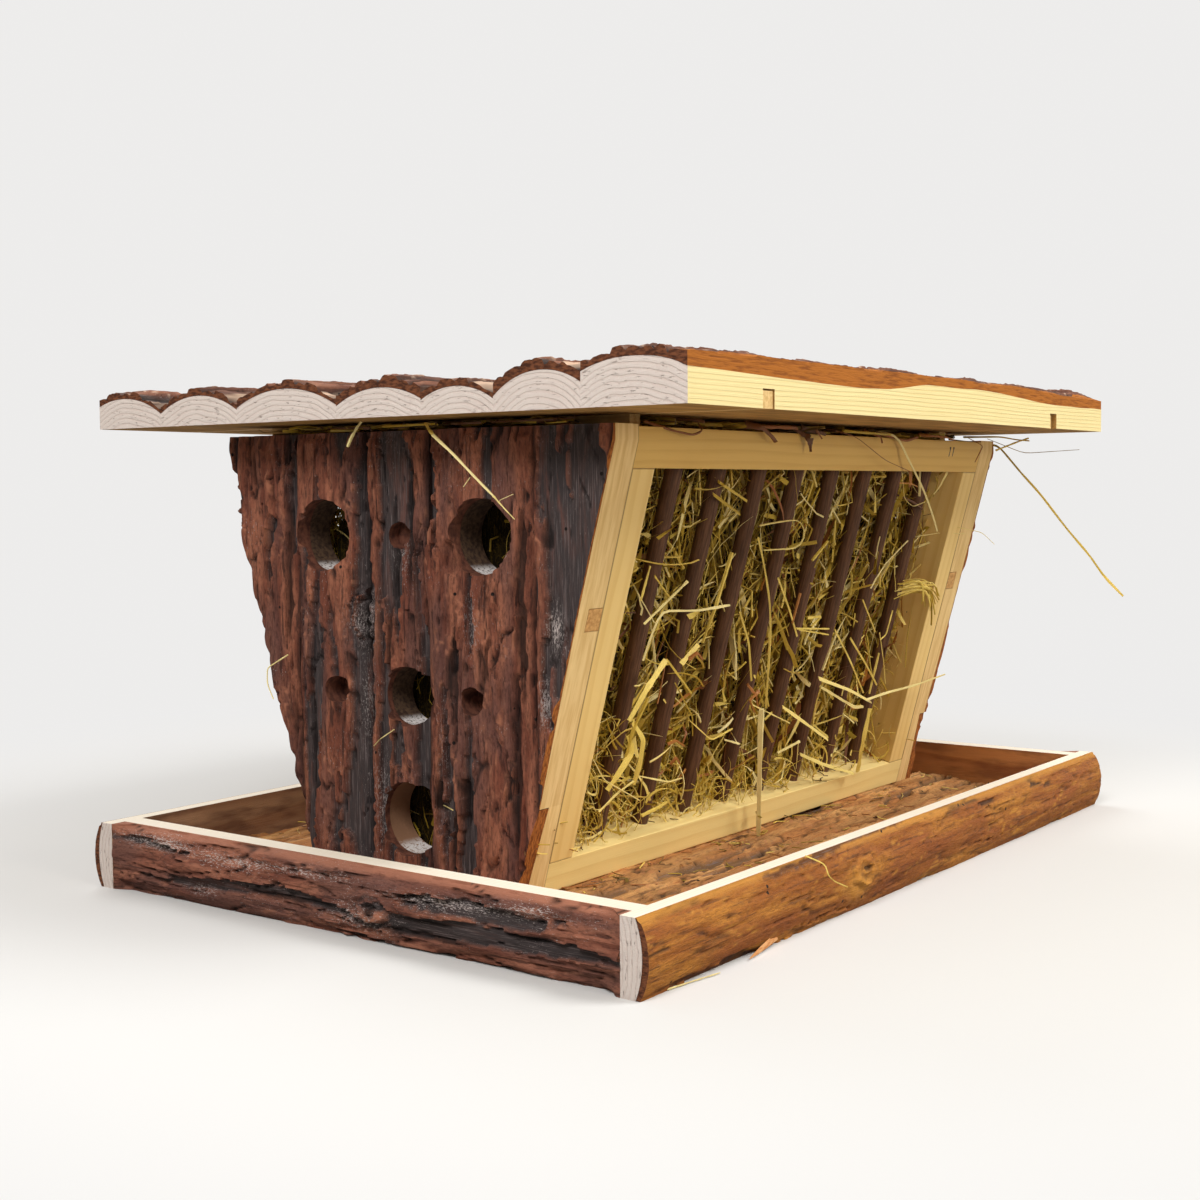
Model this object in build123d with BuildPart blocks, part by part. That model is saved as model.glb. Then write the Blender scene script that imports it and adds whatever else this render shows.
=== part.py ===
from build123d import *
import os
from math import cos, hypot, radians, sin, sqrt, tan

# Hay feeder box for rabbits and guinea pigs, made of bark-faced slab wood.
# Millimetres. X runs along the long side, Y from front to back, Z up. The origin is on the
# ground under the middle of the tray.
#
# Slab wood is the outermost board of a log: one sawn flat face, one round face with its bark.
# Every board here is a wood core with a separate bark layer on its round face.
# Layers that lie side by side share one node and stay apart by a hairline.

os.makedirs("parts", exist_ok=True)

BARK_GAP = 0.4            # hairline between the bark of neighbouring slabs

# ---- tray -------------------------------------------------------------------------------
TRAY_LENGTH = 600.0
TRAY_WIDTH = 400.0        # over the sawn top edges of the long boards
RIM_HEIGHT = 40.0
LONG_WOOD_EDGE = 9.0      # wood of a long board along its top and bottom edge
LONG_WOOD_CROWN = 13.0    # the same board at half height
LONG_BARK_EDGE = 3.0
LONG_BARK_CROWN = 4.0
END_WOOD_EDGE = 13.0
END_WOOD_CROWN = 16.0
END_BARK_EDGE = 4.0
END_BARK_CROWN = 7.0
BARK_TOP_DROP = 1.5       # the bark stops this far below the sawn top edge

FLOOR_WOOD = 9.0
FLOOR_EDGE = 12.5         # height of the bark where two floor slabs meet
FLOOR_TOP = 17.0          # height of the bark along the middle of a floor slab
FLOOR_JOINTS = (-191.0, -121.0, -42.0, 38.0, 115.0, 191.0)
FLOOR_RISES = (0.0, -0.8, -0.3, -0.6, 0.0, -0.9, -0.4)

# ---- hopper: two gables and two barred frames, wider at the top ---------------------------
LEAN = radians(15.0)
HOPPER_FOOT = 78.0        # half depth of the hopper where it stands on the floor
GABLE_INSIDE = 217.0      # distance of a gable's sawn face from the middle
GABLE_TOP = 275.0
CORNER_CUT = 145.0        # the gable's top corners are cut off upright at this distance
BATTEN_HEIGHT = 172.0     # middle of the batten let into each gable's sawn face
GABLE_BATTEN = 12.0       # section of that batten, square

# Each slab of a gable, from front to back: its two edges in Y, then the wood thickness at
# the first edge, the crown and the second edge, then the thickness of its bark.
GABLE_SLABS = (
    (-150.0, -92.0, 20.0, 21.0, 19.0, 3.0),
    (-92.0, -16.0, 11.0, 19.0, 14.0, 9.0),
    (-16.0, 33.0, 14.0, 18.0, 14.0, 6.0),
    (33.0, 88.0, 14.0, 20.0, 15.0, 7.0),
    (88.0, 150.0, 16.0, 20.0, 18.0, 6.0),
)
LARGE_HOLE = 42.0
SMALL_HOLE = 34.0
LARGE_HOLES = ((62.0, 216.0), (-58.0, 216.0), (0.0, 55.0))
SMALL_HOLES = ((0.0, 125.0),)
RECESS = 16.0             # shallow drilled starts that don't go through
RECESS_FLOOR = 230.0      # they stop at this distance from the middle
RECESSES = ((52.0, 126.0), (-52.0, 126.0), (6.0, 216.0))

FRAME_DEPTH = 32.0        # square to the leaning frame
STILE_WIDTH = 21.0
BOTTOM_RAIL_TOP = 35.0    # height of the bottom rail's front upper edge
TOP_RAIL_FOOT = 252.0     # height of the top rail's front lower edge
TOP_RAIL_TOP = 274.0
ROD = 10.0
ROD_COUNT = 8
ROD_PITCH = 45.6
ROD_SHIFT = 6.0           # the row of rods sits this far to the right of the middle
ROD_SOCKET = 8.0

# ---- roof ---------------------------------------------------------------------------------
ROOF_LENGTH = 548.0
ROOF_UNDERSIDE = 281.0
# Each slab of the roof, from front to back, in the same order as a gable's slab, with two
# bark thicknesses: at its front edge and over its crown and back edge.
ROOF_SLABS = (
    (-220.0, -157.0, 16.0, 24.0, 18.0, 9.0, 5.0),
    (-157.0, -101.0, 13.0, 20.0, 8.0, 5.5, 5.5),
    (-101.0, -51.0, 7.0, 14.5, 8.0, 4.5, 4.5),
    (-51.0, 12.0, 9.0, 16.0, 7.0, 6.0, 6.0),
    (12.0, 93.0, 8.0, 18.5, 9.0, 4.5, 4.5),
    (93.0, 161.0, 8.0, 17.5, 8.0, 4.0, 4.0),
    (161.0, 220.0, 8.0, 18.0, 14.0, 4.0, 4.0),
)
ROOF_SHIFT = 6.5                 # the loose roof rests this far behind the tray's middle
ROOF_RISES = (0.0, -1.0, 0.6, -0.6, 0.8, -0.9, 0.2)
ROOF_BATTENS = (-201.0, 180.0)   # middle of each batten in X
BATTEN_SET_BACK = 3.0            # the right batten's front end lies this deep in its groove
ROOF_BATTEN = 9.5
ROOF_BATTEN_LET_IN = 9.0         # how far it is let into the slabs
GROOVE = 11.5                    # the groove is a little wider and deeper than the batten
GROOVE_DEPTH = 10.0
BATTEN_ON_RAILS = 138.0          # half length of the step that rests on the top rails
BATTEN_BETWEEN = 101.0           # half length of the part that drops between them
BATTEN_FOOT = 264.0

# ---- filling and fasteners ----------------------------------------------------------------
HAY_HALF_LENGTH = 205.0
HAY_FOOT = 17.5
HAY_TOP = 225.0
HAY_HALF_FOOT = 43.0
HAY_HALF_TOP = 58.0
NAIL = 1.8
NAIL_LENGTH = 38.0
TRAY_NAIL_HEIGHTS = (12.0, 28.0)
FLOOR_NAIL_OFFSET = 18.0
PIN = 1.4
PIN_LENGTH = 33.0
PIN_HEIGHTS = (60.0, 145.0, 235.0)
SCREW = 3.5
SCREW_HEAD = 7.0
SCREW_LENGTH = 40.0
SCREW_FOOT = 1.0
SCREW_INSET = 8.0
SCREW_YS = (-62.0, -34.0, 24.0, 62.0)

STAPLE = 1.2              # square wire
STAPLE_CROWN = 8.0        # its length up the rail
STAPLE_LEG = 12.0
STAPLE_XS = (164.5, 170.0)
STAPLE_HEIGHT = 265.5     # height of the middle of the crown

# ---- ribs of the bark ---------------------------------------------------------------------
# Long ribs run along the bark of the roof and the floor. Their widths repeat in this order
# from the front to the back, and a valley lies between each two.
RIB_WIDTHS = (12.0, 8.0, 15.0, 10.0, 13.0, 7.5, 11.0, 9.0, 14.0)
RIB_VALLEY = 1.8
RIB_SHOULDER = 2.0

# ---- derived ------------------------------------------------------------------------------
LONG_FACE = TRAY_WIDTH / 2 - LONG_WOOD_EDGE                       # inner face of a long board
END_FACE = TRAY_LENGTH / 2 - END_WOOD_CROWN - END_BARK_CROWN      # inner face of an end board
ROD_XS = [ROD_SHIFT + ROD_PITCH * (i - (ROD_COUNT - 1) / 2) for i in range(ROD_COUNT)]


def save(part, name):
    """Label a finished piece and write it as its own STEP file."""
    part.label = name
    export_step(part, f"parts/{name}.step")


def crowned(start, crown, end):
    """Draw the round line of a slab as an arc through its two edges and its crown."""
    return ThreePointArc(start, crown, end)


def arc_height(start, top, end, place):
    """Height of the arc through three points above a place between its ends."""
    (ax, ay), (bx, by), (cx, cy) = start, top, end
    twice = 2 * (ax * (by - cy) + bx * (cy - ay) + cx * (ay - by))
    squares = [x * x + y * y for x, y in (start, top, end)]
    middle_x = (squares[0] * (by - cy) + squares[1] * (cy - ay) + squares[2] * (ay - by)) / twice
    middle_y = (squares[0] * (cx - bx) + squares[1] * (ax - cx) + squares[2] * (bx - ax)) / twice
    radius = hypot(ax - middle_x, ay - middle_y)
    return middle_y + sqrt(radius * radius - (place - middle_x) ** 2)


def rib_joints(first, last):
    """Places of the valleys between the ribs, from one side of a row of slabs to the other."""
    places = [first]
    while places[-1] < last:
        places.append(places[-1] + RIB_WIDTHS[(len(places) - 1) % len(RIB_WIDTHS)])
    return places


def ribbed(start, top, end, joints, rises):
    """Corners of ribbed bark over an arc: each rib has two shoulders and a crest between."""
    inside = [y for y in joints if start[0] + 2 * RIB_SHOULDER < y < end[0] - 2 * RIB_SHOULDER]
    bounds = [start[0], *inside, end[0]]
    first = joints.index(inside[0])
    heights = [rises[(first + i) % len(rises)] for i in range(len(bounds) - 1)]
    corners = [(start[0], start[1] + min(heights[0], 0))]
    for i, (left, right) in enumerate(zip(bounds, bounds[1:])):
        for place in (left + RIB_SHOULDER, (left + right) / 2, right - RIB_SHOULDER):
            corners.append((place, arc_height(start, top, end, place) + heights[i]))
        if i + 1 < len(heights):
            low = min(heights[i], heights[i + 1]) - RIB_VALLEY
            corners.append((right, arc_height(start, top, end, right) + low))
    corners.append((end[0], end[1] + min(heights[-1], 0)))
    return corners


def hairlines(slabs):
    """Thin upright walls along the joints between slabs, to be cut out of their bark."""
    with BuildPart() as walls:
        with Locations(*[(0, slab[1], 0) for slab in slabs[:-1]]):
            Box(2 * TRAY_LENGTH, BARK_GAP, 2 * TRAY_LENGTH)
    return walls.part


# ============================== tray boards =================================================
# A board's profile is drawn with U pointing outwards from its sawn inner face and V up.


def board_planes(side, face, along_x):
    """The profile plane of a tray board: U is outwards, V is up, at the board's middle."""
    if along_x:
        return Plane(origin=(0, side * face, 0), x_dir=(0, side, 0), z_dir=(side, 0, 0))
    return Plane(origin=(side * face, 0, 0), x_dir=(side, 0, 0), z_dir=(0, -side, 0))


def tray_board(name, side, face, along_x, length, edge, crown, bark_edge, bark_crown):
    """One rim board: its wood core, and the bark layer on its round outer face."""
    plane = board_planes(side, face, along_x)
    half = RIM_HEIGHT / 2
    with BuildPart() as wood:
        with BuildSketch(plane):
            with BuildLine():
                Polyline((edge, 0), (0, 0), (0, RIM_HEIGHT), (edge, RIM_HEIGHT))
                crowned((edge, RIM_HEIGHT), (crown, half), (edge, 0))
            make_face()
        extrude(amount=length / 2, both=True)
    save(wood.part, f"tray_{name}_board")

    top = RIM_HEIGHT - BARK_TOP_DROP
    with BuildPart() as bark:
        with BuildSketch(plane):
            with BuildLine():
                crowned((edge, RIM_HEIGHT), (crown, half), (edge, 0))
                Line((edge, 0), (edge + bark_edge, 0))
                crowned((edge + bark_edge, 0), (crown + bark_crown, half), (edge + bark_edge, top))
                Line((edge + bark_edge, top), (edge, RIM_HEIGHT))
            make_face()
        extrude(amount=length / 2, both=True)
    save(bark.part, f"tray_{name}_bark")


for board_name, board_side in (("front", -1), ("back", 1)):
    tray_board(board_name, board_side, LONG_FACE, True, TRAY_LENGTH,
               LONG_WOOD_EDGE, LONG_WOOD_CROWN, LONG_BARK_EDGE, LONG_BARK_CROWN)
for board_name, board_side in (("left", -1), ("right", 1)):
    tray_board(board_name, board_side, END_FACE, False, 2 * LONG_FACE,
               END_WOOD_EDGE, END_WOOD_CROWN, END_BARK_EDGE, END_BARK_CROWN)

# ============================== tray floor ==================================================
# Five slabs lie side by side between the end boards, bark up.

floor_slabs = tuple(zip(FLOOR_JOINTS, FLOOR_JOINTS[1:]))
for number, (y0, y1) in enumerate(floor_slabs, start=1):
    with BuildPart() as floor_slab:
        with BuildSketch(Plane.YZ):
            with BuildLine():
                Polyline((y0, 0), (y1, 0), (y1, FLOOR_WOOD), (y0, FLOOR_WOOD), (y0, 0))
            make_face()
        extrude(amount=END_FACE, both=True)
    save(floor_slab.part, f"floor_slab_{number}")

floor_joints = rib_joints(FLOOR_JOINTS[0], FLOOR_JOINTS[-1])
with BuildPart() as floor_bark:
    for y0, y1 in floor_slabs:
        outside = ribbed((y0, FLOOR_EDGE), ((y0 + y1) / 2, FLOOR_TOP), (y1, FLOOR_EDGE),
                         floor_joints, FLOOR_RISES)
        with BuildSketch(Plane.YZ):
            with BuildLine():
                Polyline((y0, FLOOR_WOOD), *outside, (y1, FLOOR_WOOD), (y0, FLOOR_WOOD))
            make_face()
        extrude(amount=END_FACE, both=True)
    add(hairlines(floor_slabs), mode=Mode.SUBTRACT)
save(floor_bark.part, "floor_bark")

# ============================== gables ======================================================


def hopper_block(top, x0, x1):
    """A block of the hopper's end view up to a height, from one X to another."""
    cut = FLOOR_TOP + (CORNER_CUT - HOPPER_FOOT) / tan(LEAN)
    corners = ((HOPPER_FOOT, FLOOR_TOP), (CORNER_CUT, cut), (CORNER_CUT, top))
    with BuildPart() as block:
        with BuildSketch(Plane.YZ.offset(x0)):
            with BuildLine():
                Polyline(*corners, *[(-y, z) for y, z in reversed(corners)], corners[0])
            make_face()
        extrude(amount=x1 - x0)
    return block.part


def gable_block(side):
    """The room that a gable takes up, with its holes and its shallow recesses drilled."""
    outside = TRAY_LENGTH / 2
    with BuildPart() as block:
        add(hopper_block(GABLE_TOP, side * GABLE_INSIDE, side * outside))
        with BuildSketch(Plane.YZ):
            with Locations(*LARGE_HOLES):
                Circle(LARGE_HOLE / 2)
            with Locations(*SMALL_HOLES):
                Circle(SMALL_HOLE / 2)
        extrude(amount=side * outside, mode=Mode.SUBTRACT)
        with BuildSketch(Plane.YZ.offset(side * RECESS_FLOOR)):
            with Locations(*RECESSES):
                Circle(RECESS / 2)
        extrude(amount=side * outside, mode=Mode.SUBTRACT)
    return block.part


def gable(name, side):
    """One gable: five upright slabs, their bark, and the batten that joins them."""
    inside = GABLE_INSIDE * side
    block = gable_block(side)
    plan = Plane.XY.offset(FLOOR_TOP)
    height = GABLE_TOP - FLOOR_TOP
    with BuildPart() as groove:
        with BuildSketch(Plane.YZ.offset(inside)):
            with Locations((0, BATTEN_HEIGHT)):
                Rectangle(TRAY_WIDTH, GABLE_BATTEN)
        extrude(amount=GABLE_BATTEN * side)

    for number, (y0, y1, edge0, crown, edge1, bark) in enumerate(GABLE_SLABS, start=1):
        middle = (y0 + y1) / 2
        start = (inside + edge0 * side, y0)
        top = (inside + crown * side, middle)
        end = (inside + edge1 * side, y1)
        with BuildPart() as slab:
            with BuildSketch(plan):
                with BuildLine():
                    Polyline(start, (inside, y0), (inside, y1), end)
                    crowned(end, top, start)
                make_face()
            extrude(amount=height)
            add(block, mode=Mode.INTERSECT)
            add(groove.part, mode=Mode.SUBTRACT)
        save(slab.part, f"{name}_gable_slab_{number}")

    with BuildPart() as gable_bark:
        for y0, y1, edge0, crown, edge1, bark in GABLE_SLABS:
            middle = (y0 + y1) / 2
            start = (inside + edge0 * side, y0)
            top = (inside + crown * side, middle)
            end = (inside + edge1 * side, y1)
            out = bark * side
            with BuildSketch(plan):
                with BuildLine():
                    crowned(start, top, end)
                    Line(end, (end[0] + out, y1))
                    crowned((end[0] + out, y1), (top[0] + out, middle), (start[0] + out, y0))
                    Line((start[0] + out, y0), start)
                make_face()
            extrude(amount=height)
        add(block, mode=Mode.INTERSECT)
        add(groove.part, mode=Mode.SUBTRACT)
        add(hairlines(GABLE_SLABS), mode=Mode.SUBTRACT)
    save(gable_bark.part, f"{name}_gable_bark")

    with BuildPart() as batten:
        add(groove.part)
        add(hopper_block(GABLE_TOP, inside, inside + GABLE_BATTEN * side), mode=Mode.INTERSECT)
    save(batten.part, f"{name}_gable_batten")


gable("left", -1)
gable("right", 1)

# ============================== barred frames ===============================================
# A frame is drawn on its leaning front face: U along the frame, V up the slope, W outwards.


def slope(z):
    """Distance up the leaning face at height z."""
    return (z - FLOOR_TOP) / cos(LEAN)


def frame_plane(side, inwards=0.0, up=0.0):
    """A leaning face of the hopper, side -1 at the front and 1 at the back."""
    y = HOPPER_FOOT - inwards * cos(LEAN) + up * sin(LEAN)
    z = FLOOR_TOP + inwards * sin(LEAN) + up * cos(LEAN)
    return Plane(origin=(0, side * y, z), x_dir=(-side, 0, 0),
                 z_dir=(0, side * cos(LEAN), -sin(LEAN)))


def rod_plane(side):
    """The plane square to the rods, at the foot of their sockets in the bottom rail."""
    face = frame_plane(side, FRAME_DEPTH / 2, slope(BOTTOM_RAIL_TOP) - ROD_SOCKET)
    return Plane(origin=face.origin, x_dir=face.x_dir, z_dir=face.y_dir)


ROD_LENGTH = slope(TOP_RAIL_FOOT) - slope(BOTTOM_RAIL_TOP) + 2 * ROD_SOCKET


def rods(side):
    """A frame's row of rods, with the ends that sit in the sockets of its rails."""
    with BuildPart() as row:
        with BuildSketch(rod_plane(side)):
            with Locations(*[(x, 0) for x in ROD_XS]):
                Circle(ROD / 2)
        extrude(amount=ROD_LENGTH)
    return row.part


def rail(name, side, foot, top, spare_foot, spare_top):
    """A rail across the whole frame, with blind sockets for the rods, trimmed level."""
    low = slope(foot) - spare_foot
    high = slope(top) + spare_top
    with BuildPart() as part:
        with BuildSketch(frame_plane(side)):
            with Locations((0, (low + high) / 2)):
                Rectangle(2 * GABLE_INSIDE, high - low)
        extrude(amount=-FRAME_DEPTH)
        add(rods(side), mode=Mode.SUBTRACT)
        add(hopper_block(TOP_RAIL_TOP, -GABLE_INSIDE, GABLE_INSIDE), mode=Mode.INTERSECT)
    save(part.part, name)


def stile(name, side, end):
    """An upright at one end of a frame, between its two rails."""
    low = slope(BOTTOM_RAIL_TOP)
    high = slope(TOP_RAIL_FOOT)
    middle = end * (GABLE_INSIDE - STILE_WIDTH / 2)
    with BuildPart() as part:
        with BuildSketch(frame_plane(side)):
            with Locations((middle, (low + high) / 2)):
                Rectangle(STILE_WIDTH, high - low)
        extrude(amount=-FRAME_DEPTH)
    save(part.part, name)


def frame(name, side):
    """One leaning frame: two rails, two stiles and its row of rods."""
    rail(f"{name}_bottom_rail", side, FLOOR_TOP, BOTTOM_RAIL_TOP, FRAME_DEPTH * tan(LEAN), 0)
    rail(f"{name}_top_rail", side, TOP_RAIL_FOOT, TOP_RAIL_TOP, 0, FRAME_DEPTH * tan(LEAN))
    # U runs to -X at the back, so the stile named left is at the other end of U there
    stile(f"{name}_left_stile", side, side)
    stile(f"{name}_right_stile", side, -side)
    save(rods(side), f"{name}_rods")


frame("front", -1)
frame("back", 1)

# ============================== roof ========================================================
# Seven slabs lie side by side, flat face down, held by two battens let into their undersides.

roof_place = Location((0, ROOF_SHIFT, 0))

with BuildPart() as roof_grooves:
    with BuildSketch(Plane.XY.offset(ROOF_UNDERSIDE)):
        with Locations(*[(x + (GROOVE - ROOF_BATTEN) / 2, 0) for x in ROOF_BATTENS]):
            Rectangle(GROOVE, 2 * TRAY_WIDTH)
    extrude(amount=GROOVE_DEPTH)

for number, (y0, y1, edge0, crown, edge1, bark0, bark1) in enumerate(ROOF_SLABS, start=1):
    with BuildPart() as roof_slab:
        with BuildSketch(Plane.YZ):
            with BuildLine():
                Polyline((y0, ROOF_UNDERSIDE + edge0), (y0, ROOF_UNDERSIDE),
                         (y1, ROOF_UNDERSIDE), (y1, ROOF_UNDERSIDE + edge1))
                crowned((y1, ROOF_UNDERSIDE + edge1), ((y0 + y1) / 2, ROOF_UNDERSIDE + crown),
                        (y0, ROOF_UNDERSIDE + edge0))
            make_face()
        extrude(amount=ROOF_LENGTH / 2, both=True)
        add(roof_grooves.part, mode=Mode.SUBTRACT)
    save(roof_place * roof_slab.part, f"roof_slab_{number}")

roof_joints = rib_joints(ROOF_SLABS[0][0], ROOF_SLABS[-1][1])
with BuildPart() as roof_bark:
    for y0, y1, edge0, crown, edge1, bark0, bark1 in ROOF_SLABS:
        start = (y0, ROOF_UNDERSIDE + edge0)
        top = ((y0 + y1) / 2, ROOF_UNDERSIDE + crown)
        end = (y1, ROOF_UNDERSIDE + edge1)
        outside = ribbed((y0, start[1] + bark0), (top[0], top[1] + bark1), (y1, end[1] + bark1),
                         roof_joints, ROOF_RISES)
        with BuildSketch(Plane.YZ):
            with BuildLine():
                crowned(start, top, end)
                Polyline(end, *reversed(outside), start)
            make_face()
        extrude(amount=ROOF_LENGTH / 2, both=True)
    add(roof_grooves.part, mode=Mode.SUBTRACT)
    add(hairlines(ROOF_SLABS), mode=Mode.SUBTRACT)
save(roof_place * roof_bark.part, "roof_bark")

# A batten is let into the slabs along its whole length. Its middle stands out below them in
# two steps: the first rests on the top rails, the second drops between them.
for batten_name, x, set_back in zip(("left", "right"), ROOF_BATTENS, (0, BATTEN_SET_BACK)):
    steps = ((BATTEN_ON_RAILS, ROOF_UNDERSIDE), (BATTEN_ON_RAILS, TOP_RAIL_TOP),
             (BATTEN_BETWEEN, TOP_RAIL_TOP), (BATTEN_BETWEEN, BATTEN_FOOT))
    front, back = ROOF_SLABS[0][0] + set_back, ROOF_SLABS[-1][1]
    top = ROOF_UNDERSIDE + ROOF_BATTEN_LET_IN
    with BuildPart() as roof_batten:
        with BuildSketch(Plane.YZ.offset(x)):
            with BuildLine():
                Polyline((back, top), (back, ROOF_UNDERSIDE), *steps,
                         *[(-y, z) for y, z in reversed(steps)],
                         (front, ROOF_UNDERSIDE), (front, top), (back, top))
            make_face()
        extrude(amount=ROOF_BATTEN / 2, both=True)
    save(roof_place * roof_batten.part, f"roof_batten_{batten_name}")

# ============================== hay =========================================================

with BuildPart() as hay_fill:
    with BuildSketch(Plane.YZ):
        with BuildLine():
            Polyline((HAY_HALF_TOP, HAY_TOP - 20), (HAY_HALF_FOOT, HAY_FOOT),
                     (-HAY_HALF_FOOT, HAY_FOOT), (-HAY_HALF_TOP, HAY_TOP - 20))
            crowned((-HAY_HALF_TOP, HAY_TOP - 20), (0, HAY_TOP), (HAY_HALF_TOP, HAY_TOP - 20))
        make_face()
    extrude(amount=HAY_HALF_LENGTH, both=True)
save(hay_fill.part, "hay_fill")

# ============================== fasteners ===================================================
# Nails and pins are headless wire. Each group is one node of separate solids.


def wires(name, starts, diameter, length):
    """A group of wires, each given by the point where it starts and the way it is driven."""
    with BuildPart() as group:
        for point, direction in starts:
            with BuildSketch(Plane(origin=point, z_dir=direction)):
                Circle(diameter / 2)
            extrude(amount=length)
    save(group.part, name)


# Two nails at each corner hold a long board to the end grain of an end board.
corner_x = END_FACE + END_WOOD_EDGE / 2
corner_y = LONG_FACE + LONG_WOOD_CROWN
wires("tray_nails",
      [((sx * corner_x, sy * corner_y, z), (0, -sy, 0))
       for sx in (-1, 1) for sy in (-1, 1) for z in TRAY_NAIL_HEIGHTS],
      NAIL, NAIL_LENGTH)

# Two nails hold each end of every floor slab.
wires("floor_nails",
      [((s * (END_FACE + END_WOOD_EDGE), (y0 + y1) / 2 + d, FLOOR_WOOD / 2), (-s, 0, 0))
       for s in (-1, 1) for y0, y1 in floor_slabs for d in (-FLOOR_NAIL_OFFSET, FLOOR_NAIL_OFFSET)],
      NAIL, NAIL_LENGTH)

# Pins through the stiles hold the frames between the gables.
pin_planes = [frame_plane(s, FRAME_DEPTH / 2, slope(z)) for s in (-1, 1) for z in PIN_HEIGHTS]
wires("frame_pins",
      [((s * (GABLE_INSIDE - STILE_WIDTH), plane.origin.Y, plane.origin.Z), (s, 0, 0))
       for s in (-1, 1) for plane in pin_planes],
      PIN, PIN_LENGTH)

# Four countersunk screws come up through the floor into the foot of each gable.
with BuildPart() as gable_screws:
    with Locations(*[(sx * (GABLE_INSIDE + SCREW_INSET), y, SCREW_FOOT)
                     for sx in (-1, 1) for y in SCREW_YS]):
        Cylinder(SCREW / 2, SCREW_LENGTH, align=(Align.CENTER, Align.CENTER, Align.MIN))
        Cone(SCREW_HEAD / 2, SCREW / 2, SCREW_HEAD / 4,
             align=(Align.CENTER, Align.CENTER, Align.MIN))
save(gable_screws.part, "gable_screws")

# Two staples sit flush in the face of each top rail, beside its last rod.
with BuildPart() as frame_staples:
    for staple_side in (-1, 1):
        crown_plane = frame_plane(staple_side)
        for x in STAPLE_XS:
            middle = slope(STAPLE_HEIGHT)
            with BuildSketch(crown_plane):
                with Locations((x, middle)):
                    Rectangle(STAPLE, STAPLE_CROWN)
            extrude(amount=-STAPLE)
            with BuildSketch(crown_plane):
                with Locations(*[(x, middle + s * (STAPLE_CROWN - STAPLE) / 2) for s in (-1, 1)]):
                    Rectangle(STAPLE, STAPLE)
            extrude(amount=-STAPLE_LEG)
save(frame_staples.part, "frame_staples")
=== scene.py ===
# %% [markdown]
# # A hay feeder of slab wood
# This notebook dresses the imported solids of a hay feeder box. The box is made of slab wood: the
# outermost boards of a log, sawn flat on one side and round with bark on the other. The solids
# give every place and size. Here each slab gets torn bark and a log's year rings, the frames get
# planed pine, and the hopper gets loose hay.

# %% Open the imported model
from functools import partial

import bpy
import numpy as np
from mathutils import Matrix, Vector


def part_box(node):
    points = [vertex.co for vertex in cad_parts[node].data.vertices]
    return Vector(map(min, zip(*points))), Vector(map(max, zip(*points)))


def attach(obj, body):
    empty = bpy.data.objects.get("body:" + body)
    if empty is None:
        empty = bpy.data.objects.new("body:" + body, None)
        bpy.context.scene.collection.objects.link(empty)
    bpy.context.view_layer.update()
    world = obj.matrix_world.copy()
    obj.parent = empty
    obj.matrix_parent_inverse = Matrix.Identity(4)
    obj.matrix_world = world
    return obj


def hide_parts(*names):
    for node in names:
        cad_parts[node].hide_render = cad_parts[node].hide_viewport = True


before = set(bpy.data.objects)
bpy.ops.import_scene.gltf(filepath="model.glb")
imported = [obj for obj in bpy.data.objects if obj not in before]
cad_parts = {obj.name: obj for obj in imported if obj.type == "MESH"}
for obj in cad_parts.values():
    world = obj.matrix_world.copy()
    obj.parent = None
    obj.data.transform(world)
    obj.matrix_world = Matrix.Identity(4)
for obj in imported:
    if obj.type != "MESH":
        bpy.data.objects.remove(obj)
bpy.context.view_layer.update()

# %% [markdown]
# ## Units and places
# The shapes are worked out in millimetres and turned into Blender's metres at the last step. A
# slab is described in its own directions: along the grain, across the slab, and out from its
# sawn face towards the bark. Three rows of a matrix hold these directions for each family of
# slabs, so one set of functions can make the roof, the gables, the tray and the floor.

# %% Directions of each family of slabs
MM = 0.001
X, Y, Z = np.eye(3)
SIDES = {"left": -1, "right": 1}
FACES = {"front": -1, "back": 1}
LEAN = np.radians(15)


def points_of(mesh):
    """All vertices of a mesh, in millimetres."""
    points = np.empty(len(mesh.vertices) * 3)
    mesh.vertices.foreach_get("co", points)
    return points.reshape(-1, 3) / MM


def cad_points(name):
    """All vertices of a CAD node, in millimetres."""
    return points_of(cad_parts[name].data)


def span(points, direction):
    """Lowest and highest distance of the points along a direction."""
    distance = points @ direction
    return distance.min(), distance.max()


def unit(vectors):
    """Each vector divided by its length."""
    return vectors / np.linalg.norm(vectors, axis=-1, keepdims=True)


def turned(turn, first, second):
    """One heading per angle, turned from the first direction towards the second."""
    return np.cos(turn)[:, None] * first + np.sin(turn)[:, None] * second


def leaning(sign):
    """The directions of the front or back frame: up along it, and square out of it."""
    return (np.array([0, sign * np.sin(LEAN), np.cos(LEAN)]),
            np.array([0, sign * np.cos(LEAN), -np.sin(LEAN)]))


# %% [markdown]
# ## Noise
# Bark and wood are uneven at several sizes at once. Gradient noise gives a smooth random hill at
# each lattice point, and several layers of it, each finer and lower than the last, give a natural
# surface. The lattice comes from a seed, so the feeder is the same on each run.

# %% Gradient noise on whole arrays
LATTICE = 64


def fade(t):
    """6t^5 - 15t^4 + 10t^3: runs from 0 to 1 with no kink at either end."""
    return t * t * t * (t * (6 * t - 15) + 10)


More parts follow.
